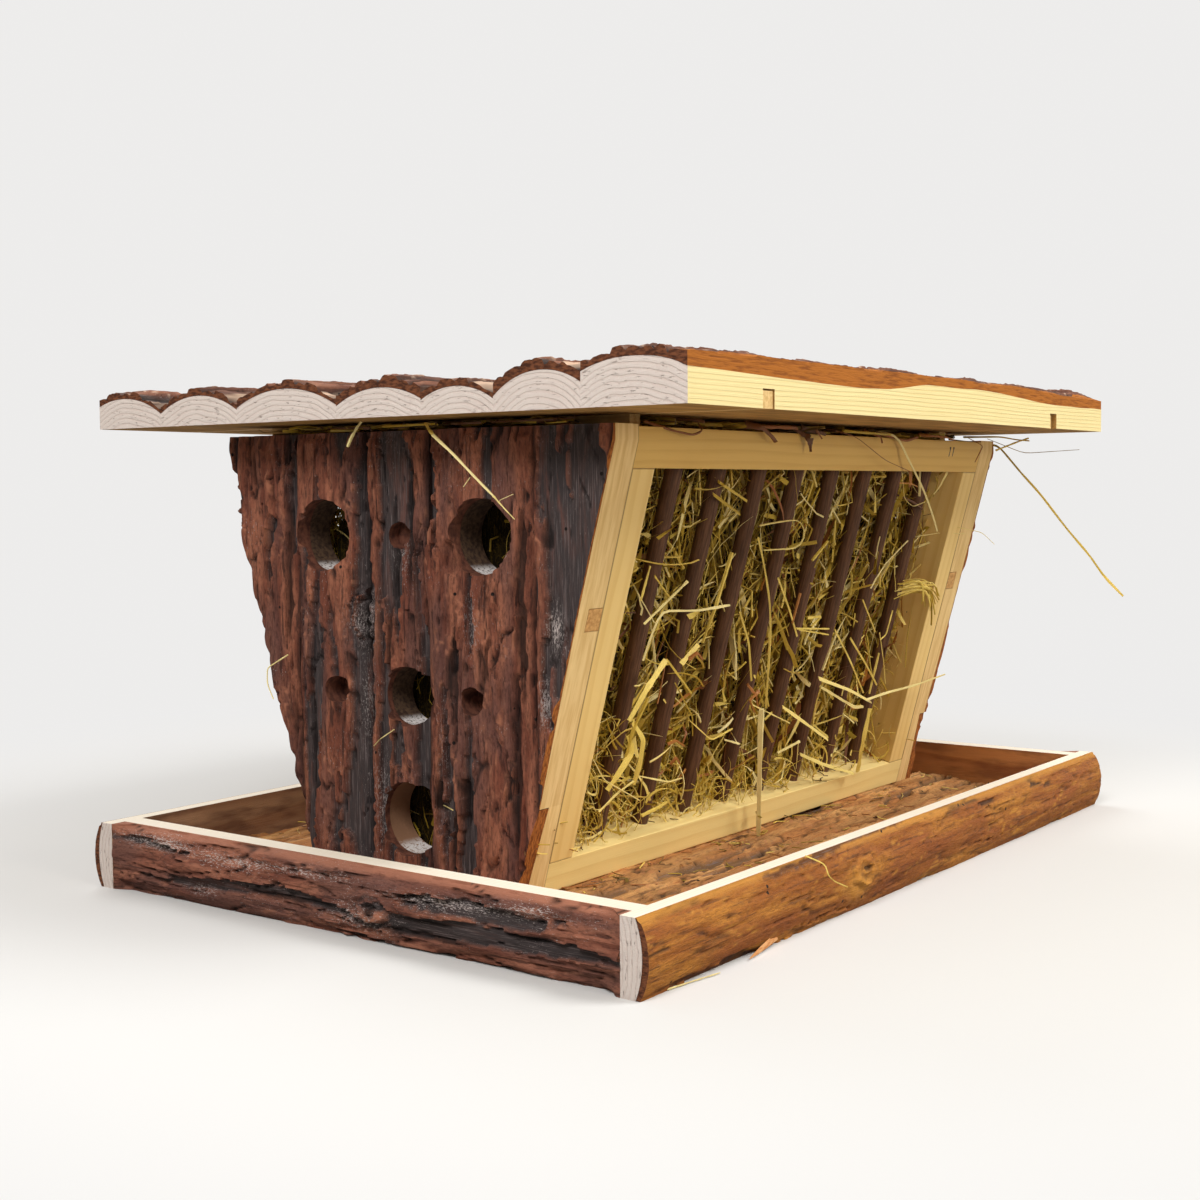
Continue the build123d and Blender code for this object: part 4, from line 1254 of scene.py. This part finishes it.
for label, seed in (("front", 71), ("back", 72)):
    rng = np.random.default_rng(seed)
    xs = rods_along(label)
    gaps = np.concatenate([[xs[0] - 26], (xs[1:] + xs[:-1]) / 2, [xs[-1] + 20]])
    face_layer(f"hay_{label}_deep", label, 2800, rng, (30, 47), (0.42, 0.12), kinked=0.2)
    face_layer(f"hay_{label}", label, 1900, rng, (22, 34), (0.66, 0.42), curl=0.35)
    in_gaps = rng.choice(gaps, 560) + rng.normal(0, 9, 560)
    face_layer(f"hay_{label}_gaps", label, 560, rng, (15, 24), (0.84, 0.62), in_gaps, 0.25, 50,
               40.0)
    face_layer(f"hay_{label}_over", label, 36, rng, (3, 11), (0.84, 0.70), None, 0.2, 50, 48.0)
    face_layer(f"hay_{label}_crumbs", label, 600, rng, (17, 30), (0.75, 0.50), None, 0.5, 20, 38.0)

# %% Curls that bulge out between the bars and lie on the bottom rail
rng = np.random.default_rng(63)
for name, count, place_x, spread_x, heights, depths in (
        ("left", 150, -178, 16, (38, 112), (8, 24)), ("foot", 260, -10, 110, (36, 60), (5, 26))):
    x = rng.normal(place_x, spread_x, count).clip(-200, 190)
    middle = on_face(-1, x, rng.uniform(*heights, count), rng.uniform(*depths, count))
    heading = rng.normal(size=(count, 3)) * (1, 0.4, 0.9)
    path, across = loose(rng, middle, heading, rng.uniform(16, 44, count), 1.9, 0.15, 9)
    path[..., 1] += np.maximum(hopper_half(path[..., 2]) * -1 + 2 - path[..., 1], 0)
    path[..., 2] = path[..., 2].clip(RAIL_TOP + 1, HAY_HIGH)
    tubes(f"hay_curls_{name}", path, across, rng.uniform(0.5, 0.88, count),
          rng.uniform(0.5, 1.6, count), rng.uniform(0.4, 0.7, count), pointed=np.ones(count))

# %% Hay at the gables and on top
GABLE_HAY, TOP_HAY = (186, 216), (222, HAY_HIGH)
for label, sign in SIDES.items():
    rng = np.random.default_rng(80 + sign)
    count = 1250
    length, shape = sizes(rng, count, 50)
    z = rng.uniform(26, 258, count)
    y = rng.uniform(-1, 1, count) * (hopper_half(z) - 40)
    middle = np.stack([sign * rng.uniform(196, 213, count), y, z], -1)
    turn = rng.uniform(0, np.pi, count)
    heading = turned(turn, Y, Z) + rng.normal(0, 0.12, count)[:, None] * X
    path, across = loose(rng, middle, heading, length, 0.7)
    path[..., 0] = sign * (sign * path[..., 0]).clip(*GABLE_HAY)
    shade = (0.40 + 0.25 * rng.normal(size=count)).clip(0.02, 0.9)
    tubes(f"hay_{label}_end", path, across, shade, **shape)

rng = np.random.default_rng(90)
count = 1600
length, shape = sizes(rng, count)
x, y = rng.uniform(-205, 205, count), rng.uniform(-98, 98, count)
middle = np.stack([x, y, 236 + 18 * rng.random(count) + 4 * noise(x / 40, y / 40, 6)], -1)
turn = rng.uniform(0, np.pi, count)
heading = turned(turn, X, Y) + rng.normal(0, 0.1, count)[:, None] * Z
path, across = loose(rng, middle, heading, length)
path[..., 2] = path[..., 2].clip(*TOP_HAY)
tubes("hay_top", path, across, (0.52 + 0.25 * rng.normal(size=count)).clip(0, 0.9), **shape)

# %% [markdown]
# ## Strands that catch the eye
# Some stems stand out: they cross the bars, hang out over the rails or stick out of the gap below
# the roof. Each is a short list of points that it bends at, with its width at both ends and its
# tone: 0 is dark olive, 0.9 is pale straw and 1 is dry brown. The line between the points is
# rounded a little at each bend, and its flat side is turned halfway between lamp and camera. Broad
# strands are flat blades; thin ones, and broad ones of pale straw, are nearly round.

# %% Strands placed one by one
STRANDS = (
    ("stems", (
        (2.0, 2.2, 0.80, (-72, -130, 212), (-66, -130, 198), (-55, -128, 173), (-49, -125, 156),
         (-40, -118, 130), (-28, -109, 103)),
        (5.4, 5.2, 0.90, (-35, -110, 103), (-30, -106, 83), (-15, -96, 41), (-4, -89, 15)),
        (1.5, 1.9, 0.90, (-174, -117, 146), (-174, -123, 161), (-172, -128, 174),
         (-137, -129, 172), (-101, -128, 173)),
        (1.7, 1.5, 0.88, (-144, -127, 189), (-180, -122, 167)),
        (2.1, 2.7, 0.78, (-85, -125, 168), (-68, -121, 148), (-52, -113, 123)),
        (3.0, 2.1, 0.72, (-84, -119, 203), (-102, -119, 172), (-101, -109, 150)),
        (3.2, 2.9, 0.76, (-130, -113, 140), (-113, -114, 150)),
        (1.3, 1.1, 0.84, (-72, -131, 219), (-49, -132, 221), (-26, -133, 222), (-17, -132, 212),
         (-25, -131, 204), (-43, -130, 204), (-64, -129, 204)),
        (2.0, 2.4, 0.80, (-40, -125, 186), (-21, -122, 165), (-1, -116, 147)),
        (1.9, 1.9, 0.95, (-9, -123, 175), (-14, -120, 156)),
        (2.2, 1.6, 0.70, (7, -119, 158), (24, -120, 158), (14, -118, 152)),
        (1.7, 1.4, 0.78, (-5, -118, 152), (36, -119, 149)),
        (1.4, 1.3, 0.70, (-2, -118, 151), (37, -118, 145)),
        (2.4, 2.2, 0.66, (-146, -114, 144), (-112, -108, 121)),
        (1.2, 1.8, 0.50, (-132, -110, 129), (-106, -105, 106), (-97, -99, 93)),
        (3.6, 2.9, 0.84, (42, -108, 115), (89, -107, 102), (131, -101, 89)),
        (3.2, 2.9, 0.86, (46, -107, 109), (100, -104, 89), (114, -103, 88)),
        (2.4, 2.1, 0.78, (53, -114, 147), (80, -111, 124), (113, -104, 98)),
        (2.8, 2.3, 0.74, (79, -112, 139), (103, -110, 121), (131, -105, 102)),
        (1.9, 1.9, 0.80, (127, -109, 125), (124, -103, 96)),
        (1.3, 1.2, 0.82, (120, -113, 140), (134, -109, 119), (147, -104, 101)),
        (1.3, 1.1, 0.80, (134, -116, 155), (130, -113, 138), (121, -113, 135)),
        (2.2, 1.2, 0.88, (119, -103, 92), (140, -107, 95), (181, -111, 97), (225, -114, 101)),
        (3.6, 4.7, 0.78, (135, -98, 84), (133, -94, 62), (141, -85, 36)),
        (3.3, 3.1, 0.82, (-4, -107, 101), (28, -105, 87), (69, -100, 70)),
        (1.3, 1.2, 0.84, (-44, -108, 107), (7, -106, 89)),
        (1.7, 2.1, 0.88, (10, -95, 68), (34, -98, 73)),
        (3.2, 3.4, 0.82, (47, -91, 62), (82, -90, 50), (129, -88, 37)),
        (1.4, 1.9, 0.90, (-61, -99, 86), (-42, -98, 81)),
        (3.2, 3.7, 0.80, (-171, -105, 111), (-163, -112, 129), (-147, -114, 144)),
        (4.0, 3.5, 0.76, (-166, -104, 110), (-154, -103, 98), (-153, -100, 85), (-153, -95, 71)),
        (4.6, 2.9, 0.70, (-166, -101, 102), (-161, -100, 92), (-169, -97, 81), (-176, -93, 71)),
        (1.1, 1.0, 0.86, (-198, -100, 92), (-187, -99, 79), (-147, -95, 61)),
        (1.3, 1.1, 0.84, (-184, -93, 60), (-170, -96, 69), (-157, -98, 74)),
        (2.5, 2.0, 0.74, (-138, -90, 50), (-122, -92, 53), (-112, -91, 55)),
        (1.8, 1.6, 0.70, (-116, -92, 58), (-102, -90, 46)),
        (3.3, 2.6, 0.62, (-114, -129, 245), (-79, -126, 234)),
        (3.3, 2.6, 0.60, (-117, -127, 238), (-83, -124, 226)),
        (2.6, 2.3, 0.58, (-158, -109, 123), (-165, -104, 106), (-164, -97, 87)),
        (1.3, 1.2, 0.80, (-108, -104, 104), (-79, -101, 88), (-58, -103, 93)),
        (1.2, 1.0, 0.86, (-151, -98, 76), (-120, -97, 68), (-104, -96, 68)),
        (2.3, 2.0, 0.66, (8, -122, 195), (27, -123, 207)),
        (2.1, 1.8, 0.72, (87, -117, 165), (117, -111, 141)),
        (1.6, 1.3, 0.76, (-183, -122, 180), (-178, -125, 199)),
        (1.9, 1.6, 0.64, (-168, -121, 193), (-148, -119, 178)),
        (3.1, 1.9, 0.96, (-50, -109, 120), (-41, -110, 112), (-33, -106, 103)),
        (2.5, 1.9, 0.95, (-38, -110, 115), (-49, -110, 110), (-37, -106, 101)),
        (2.9, 2.1, 0.96, (-124, -114, 142), (-119, -117, 146), (-109, -114, 141)),
        (2.4, 1.8, 0.95, (-128, -102, 92), (-124, -105, 94), (-111, -102, 89)),
        (2.6, 1.7, 0.96, (-121, -99, 79), (-119, -102, 83), (-111, -99, 78)),
    )),
    ("hanging", (
        (3.2, 1.7, 0.90, (64, -138, 277.5), (73, -149, 276), (88, -150, 260), (111, -150, 240),
         (126, -150, 222), (133, -150, 211)),
        (0.9, 0.7, 0.90, (-278, -203, 0.8), (-260, -205.5, 0.8), (-240, -209, 0.9)),
        (1.0, 0.8, 0.80, (-146, -204, 42), (-139, -213, 37), (-141, -215, 32), (-134, -215.5, 27),
         (-119, -215.5, 21)),
        (1.0, 0.9, 0.98, (0, -140, 277.5), (14, -149, 274), (29, -150, 268), (54, -150, 259),
         (92, -149, 252)),
        (1.0, 0.8, 0.97, (205, -140, 277), (207, -151, 271), (193, -151, 259)),
        (1.8, 1.6, 0.93, (116, -124, 245), (133, -130, 244), (147, -128, 242)),
        (0.7, 0.7, 0.85, (111, -134, 252), (111, -136, 233), (122, -137, 228), (147, -134, 231)),
        (0.7, 0.6, 0.85, (203, -119, 212), (210, -130, 212), (222, -144, 208), (231, -150, 199)),
        (0.6, 0.6, 0.88, (170, -116, 206), (196, -122, 208), (214, -134, 207)),
    )),
    ("dry_leaves", (
        (7.0, 1.0, 0.99, (-106, -142, 278), (-99, -149, 276), (-93, -151, 272), (-85, -150, 268)),
        (2.0, 7.0, 1.00, (-50, -142, 277), (-45, -150, 271)),
        (7.0, 0.8, 1.00, (-45, -150, 271), (-44, -150, 263)),
        (5.0, 3.0, 1.00, (-42, -142, 278), (-26, -150, 274)),
        (2.6, 1.4, 0.98, (-34, -148, 277), (-30, -150, 271)),
        (2.2, 1.2, 0.98, (-203, -139, 277), (-188, -148, 272), (-172, -150, 270),
         (-161, -149, 273), (-157, -143, 277)),
        (3.0, 1.0, 0.98, (40, -142, 278), (48, -150, 274), (50, -150, 270)),
        (2.6, 2.0, 0.97, (58, -142, 277), (84, -150, 272), (104, -149, 275)),
        (3.0, 3.0, 0.97, (-90, -143, 277), (-66, -149, 277), (-54, -146, 277)),
        (2.4, 2.0, 0.60, (10, -143, 277), (44, -149, 276), (70, -146, 276)),
        (2.6, 1.6, 0.96, (120, -142, 277), (146, -150, 276), (166, -148, 274)),
        (2.4, 1.8, 0.62, (-246, 10, 277.4), (-250, -8, 277.2), (-247, -30, 277.6)),
        (2.2, 1.8, 1.00, (-242, -38, 277.6), (-247, -48, 277.2), (-243, -60, 277.6)),
        (1.8, 1.6, 1.00, (-242, -66, 277.8), (-246, -88, 277.4), (-241, -110, 277.8)),
        (2.0, 1.4, 1.00, (-240, 26, 277.6), (-244, 46, 277.4), (-240, 60, 277.8)),
    )),
    ("aside", (
        (1.6, 2.6, 0.40, (216, -120, 276.5), (246, -146, 272), (262, -158, 251)),
        (2.6, 3.2, 0.58, (262, -158, 251), (268, -170, 236), (278, -187, 209.6), (288, -202.5, 188),
         (296, -208, 175), (303, -221.5, 159)),
        (2.0, 1.6, 0.76, (220, -130, 278), (250, -146, 278.5), (252, -158, 276), (251, -168, 275)),
        (1.6, 1.4, 0.72, (232, -150, 268), (246, -160, 274), (250, -168, 277)),
        (0.8, 0.7, 0.40, (240, -140, 277), (256, -162, 266), (262, -202, 268)),
    )),
    ("left", (
        (1.6, 1.9, 0.90, (-262, 11, 279.6), (-263, 13, 277), (-263, 18, 271), (-263, 21, 266)),
        (2.0, 2.8, 0.80, (-246, -26, 277.5), (-258, -33, 277.5), (-262, -42, 271)),
        (2.8, 1.6, 0.90, (-262, -42, 271), (-262, -57, 260), (-262, -69, 250), (-262, -84, 238)),
        (1.6, 0.6, 0.86, (-262, -84, 238), (-262, -92, 231), (-262, -98, 226)),
        (0.5, 0.6, 0.90, (-262, -88, 235), (-264, -90, 236), (-264, -99, 239)),
        (0.5, 0.5, 0.90, (-262, -68, 248), (-264, -65, 243)),
        (0.9, 0.7, 0.90, (-243, 94, 144), (-256, 98, 137), (-259, 95, 128), (-258, 91, 119)),
        (0.8, 0.6, 0.90, (-243, 24, 95), (-250, 12, 101), (-249, 2, 107)),
        (1.2, 1.0, 0.88, (-226, -8, 63), (-240, -28, 65), (-250, -42, 66)),
    )),
)


def bent(points, stations=17):
    """A line through points, rounded at each bend by averaging it with its neighbours."""
    points = np.array(points, float)
    reach = np.concatenate([[0], np.cumsum(np.linalg.norm(np.diff(points, axis=0), axis=1))])
    s = np.linspace(0, reach[-1], stations)
    line = np.stack([np.interp(s, reach, points[:, k]) for k in range(3)], -1)
    line[1:-1] = (line[:-2] + 2 * line[1:-1] + line[2:]) / 4
    return line


TO_LIGHT = np.array([-0.35, -0.79, 0.50])
BROAD, STRAW_TONE, BLADE = 2.7, 0.895, 0.6
for label, rows in STRANDS:
    path = np.stack([bent(points) for _, _, _, *points in rows])
    width = np.stack([np.linspace(first, last, path.shape[1]) for first, last, *_ in rows])
    row, station = np.indices(width.shape)
    width = width * (0.88 + 0.3 * noise(station * 0.4, row * 1.7 + 0.5, 33))
    tone = np.array([row[2] for row in rows])
    middle_width = width.mean(1)
    flat = (middle_width > BROAD) & (tone < STRAW_TONE)
    thickness = np.where(flat, BLADE, middle_width * 0.7)
    across = np.cross(np.gradient(path, axis=1), TO_LIGHT)
    tubes(f"hay_{label}", path, across, tone, width, thickness)

# %% A splinter at the foot of the front board
splinter = np.array([bent(((-164, -202, 5.0), (-188, -205.5, 3.4), (-212, -209, 1.4)))])
splinter_finish = plain("splinter wood", paint(214, 142, 84), paint(246, 190, 134),
                        (60, 900, 900))
tubes("tray_front_splinter", splinter, Z[None], np.zeros(1), np.full(1, 4.6),
      np.full(1, 0.9), pointed=1.0, finish=splinter_finish, node="tray_front_bark", slot="bark")

# %% A tuft over the right stile, and hay under the roof
rng = np.random.default_rng(61)
count = 26
root = np.array([154, -113, 168]) + rng.normal(0, (4, 2, 4), (count, 3))
tip = np.array([184, -123, 162]) + rng.normal(0, (7, 2, 4), (count, 3))
s = np.linspace(0, 1, 9)[None, :, None]
hook = step(0.6, 1, s) * rng.uniform(2, 10, (count, 1, 1))
path = root[:, None] * (1 - s) + tip[:, None] * s + (5 * np.sin(np.pi * s) - hook) * Z
path[..., 1] = path[..., 1] - 6 * np.sin(np.pi * s[..., 0])
across = np.tile(Z, (count, 1)) + rng.normal(0, 0.4, (count, 3))
tubes("hay_tuft", path, across, rng.uniform(0.58, 0.84, count), rng.uniform(0.6, 1.8, count),
      rng.uniform(0.4, 0.8, count))


def in_gap(name, count, middle, heading, low, high, rng):
    """Loose hay pressed flat into the gap below the roof, kept between two corners."""
    length, shape = sizes(rng, count, 60, widest=1.8)
    path, across = loose(rng, middle, heading, length, 0.8)
    path[..., 2] = middle[:, None, 2] + 0.8 * (path[..., 2] - middle[:, None, 2]).clip(-1, 1)
    path[..., :2] = np.sign(middle[:, None, :2]) * np.abs(path[..., :2])
    for axis in (0, 1):
        path[..., axis] = path[..., axis].clip(low[axis], high[axis])
    tubes(name, path, np.tile(Z, (count, 1)) + 0.3 * across,
          rng.choice([0.05, 0.2, 0.35, 0.5, 1.0], count), **shape)


for label, sign in FACES.items():
    count = 200
    x, y = rng.uniform(-205, 205, count), sign * rng.uniform(112, 138, count)
    middle = np.stack([x, y, rng.uniform(275.2, 279.0, count)], -1)
    heading = np.stack([rng.normal(size=count), 0.35 * rng.normal(size=count), 0 * x], -1)
    near, far = sorted((sign * 104, sign * 150))
    in_gap(f"hay_{label}_gap", count, middle, heading, (-190, near), (172, far), rng)
for label, sign in SIDES.items():
    count = 90
    y = rng.uniform(-105, 105, count)
    middle = np.stack([sign * rng.uniform(214, 236, count), y, rng.uniform(276.2, 279, count)], -1)
    heading = np.stack([0.5 * rng.normal(size=count), rng.normal(size=count), 0 * y], -1)
    near, far = sorted((sign * 208, sign * 246))
    in_gap(f"hay_{label}_gap", count, middle, heading, (near, -120), (far, 120), rng)

# %% Bits on the rails and the floor
bpy.context.view_layer.update()
depsgraph = bpy.context.evaluated_depsgraph_get()


def ground_below(x, y, z=60.0):
    """The height in mm of what lies below each point, found by a ray straight down."""
    heights = []
    for a, b in zip(x, y):
        hit, place_hit, *_ = bpy.context.scene.ray_cast(
            depsgraph, (a * MM, b * MM, z * MM), (0, 0, -1), distance=0.059)
        heights.append(place_hit.z / MM if hit else 0.0)
    return np.array(heights)


rng = np.random.default_rng(64)
for label, sign in FACES.items():
    count = 80
    on_rail = on_face(sign, rng.uniform(-190, 190, count), np.full(count, RAIL_TOP),
                      rng.uniform(3, 34, count))
    count = 150
    loose_y = sign * (84 + 90 * rng.random(count) ** 3.0)
    on_floor = np.stack([rng.uniform(-262, 262, count), loose_y, np.zeros(count)], -1)
    middle = np.concatenate([on_rail, on_floor])
    middle[:, 2] = ground_below(middle[:, 0], middle[:, 1]) + 0.9
    middle = middle[middle[:, 2] > 9]
    count = len(middle)
    turn = rng.uniform(0, np.pi, count)
    heading = turned(turn, X, Y)
    path, across = loose(rng, middle, heading, rng.gamma(3, 4, count).clip(5, 30), 0.9)
    path[..., 2] = middle[:, None, 2] + 0.2 * (path[..., 2] - middle[:, None, 2])
    width = rng.choice([0.5, 0.7, 1.0, 2.0], count, p=[0.35, 0.3, 0.25, 0.1])
    tone = rng.choice([0.1, 0.3, 0.5, 0.8, 0.97, 1.0], count)
    tubes(f"hay_{label}_bits", path, np.cross(heading, Z), tone, width, np.minimum(width, 0.6))

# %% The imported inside
CORE_LOW, CORE_HIGH, CORE_INSET = 19.0, 235.0, 47
# Painted shade: the core is nearly black hay, standing in for the shade deep between the strands.
shaded_core_finish, tree, shader = material("shaded packed hay", 0.9, 0.1)
mat = larger(*(stretched(own_place(tree), factors, 3.0, 0.7, 1.5)
               for factors in ((420, 420, 60), (60, 420, 420))))
coat(shader, mix(ramp(mat, 0.5, 0.72), paint(26, 19, 8), paint(88, 70, 26)), mat, 2.0)

S, R = np.meshgrid(np.linspace(-212, 212, 86), np.linspace(0, 1, 41), indexing="ij")
heights = CORE_LOW + (CORE_HIGH - CORE_LOW) * R
halves = []
for sign, seed in ((-1, 95), (1, 97)):
    lumps = 5 * layers(S / 22, heights / 22, seed, 2)
    half = (hopper_half(heights) - CORE_INSET + lumps) * np.sqrt((1 - R**28).clip(0.02, 1))
    halves.append(np.stack([S, sign * half, heights], -1))
skin("hay_core", np.concatenate([halves[0], halves[1][:, ::-1]], 1), (shaded_core_finish,), "feeder",
     ("hay_fill",), "hay")

# %% [markdown]
# ## Small solids that stay
# The battens, nails, pins, screws and staples are right as they are in CAD. They get a finish of
# their own: pine for the battens, dull wire for the rest.

# %% Finishes for the CAD nodes that stay
staying = dict.fromkeys(
    ("tray_nails", "floor_nails", "frame_pins", "gable_screws", "frame_staples"), wire)
for side in SIDES:
    staying[f"roof_batten_{side}"] = roof_batten_finish
    staying[f"{side}_gable_batten"] = gable_batten_finish
for name, finish in staying.items():
    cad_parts[name].data.materials.clear()
    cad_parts[name].data.materials.append(finish)

# %% [markdown]
# ## Floor, light and camera
# A wide pale floor that fades into the backdrop, and four soft lamps: the main one high at the
# front, a weak one low at the front, one at the left and one behind. The sky is pale only for
# camera and mirror rays, and lights the feeder with a softer, warmer light.

# %% Stage
SKY, BACKDROP = 0.28, 0.85
WHITE, WARM = (1.0, 0.99, 0.98, 1.0), (1.0, 0.88, 0.70, 1.0)
FADE_FROM, FADE_TO, FLOOR_HALF = 0.30, 0.85, 6
stage_floor, tree, shader = material("pale floor", 0.9, 0.5)
fill(shader.inputs["Base Color"], paint(226, 227, 228))
away = add(tree, "VectorMath", {0: own_place(tree)}, operation="LENGTH").outputs["Value"]
seen = add(tree, "LightPath").outputs["Is Camera Ray"]
backdrop = add(tree, "Emission", {"Color": WHITE, "Strength": BACKDROP})
unseen = add(tree, "BsdfDiffuse", {"Color": paint(150, 149, 147)})
bounced = add(tree, "MixShader", {0: seen, 1: unseen.outputs[0], 2: shader.outputs[0]})
faded = add(tree, "MixShader", {0: times(ramp(away, FADE_FROM, FADE_TO), seen),
                                1: bounced.outputs[0], 2: backdrop.outputs[0]})
fill(tree.nodes["Material Output"].inputs["Surface"], faded.outputs[0])
mesh = bpy.data.meshes.new("floor")
corners = [(FLOOR_HALF * x, FLOOR_HALF * y, 0) for x, y in ((-1, -1), (1, -1), (1, 1), (-1, 1))]
mesh.from_pydata(corners, [], [(0, 1, 2, 3)])
ground = bpy.data.objects.new("floor", mesh)
ground.data.materials.append(stage_floor)
bpy.context.scene.collection.objects.link(ground)

world = bpy.data.worlds.new("studio")
bpy.context.scene.world = world
world.use_nodes = True
background = world.node_tree.nodes["Background"].inputs
ray = add(world.node_tree, "LightPath").outputs
seen = larger(ray["Is Camera Ray"], ray["Is Glossy Ray"])
fill(background["Strength"], plus(SKY, times(seen, BACKDROP - SKY)))
fill(background["Color"], mix(seen, WARM, WHITE))


def lamp(name, place, target, size, watts, tint):
    """A square soft lamp that faces a point."""
    light = bpy.data.lights.new(name, "AREA")
    light.energy, light.size, light.color = watts, size, tint
    made = bpy.data.objects.new(name, light)
    way = (Vector(place) - Vector(target)).to_track_quat("Z", "Y")
    made.matrix_world = Matrix.Translation(place) @ way.to_matrix().to_4x4()
    bpy.context.scene.collection.objects.link(made)


lamp("main", (0.7, -1.8, 2.0), (0, 0, 0.15), 1.0, 48, (1.0, 0.98, 0.94))
lamp("low front", (-0.5, -2.3, 0.6), (0, 0, 0.15), 0.6, 12, (1.0, 0.90, 0.74))
lamp("left", (-1.8, -0.5, 1.7), (0, 0, 0.15), 0.8, 33, (1.0, 0.99, 0.98))
lamp("back", (0.6, 1.9, 2.2), (0, 0.3, 0.0), 1.6, 30, (1.0, 0.99, 0.98))

# %% Camera
POSITION = (-927.3, -645.4, 239.9)
TURN, TILT, ROLL = np.radians((36.525, -3.728, 0.430))
FOCAL, FILM = 49.84, 36.0
forward = np.array([np.cos(TILT) * np.cos(TURN), np.cos(TILT) * np.sin(TURN), np.sin(TILT)])
level_right = unit(np.cross(forward, Z))
level_down = np.cross(forward, level_right)
right = np.cos(ROLL) * level_right + np.sin(ROLL) * level_down
down = np.cos(ROLL) * level_down - np.sin(ROLL) * level_right
camera = bpy.data.objects.new("camera", bpy.data.cameras.new("camera"))
camera.data.lens, camera.data.sensor_width, camera.data.clip_end = FOCAL, FILM, 50.0
pose = np.eye(4)
pose[:3, :3] = np.stack([right, -down, -forward], 1)
pose[:3, 3] = np.array(POSITION) * MM
camera.matrix_world = Matrix(pose.tolist())
bpy.context.scene.collection.objects.link(camera)
bpy.context.scene.camera = camera
bpy.context.scene.view_settings.view_transform = "Standard"
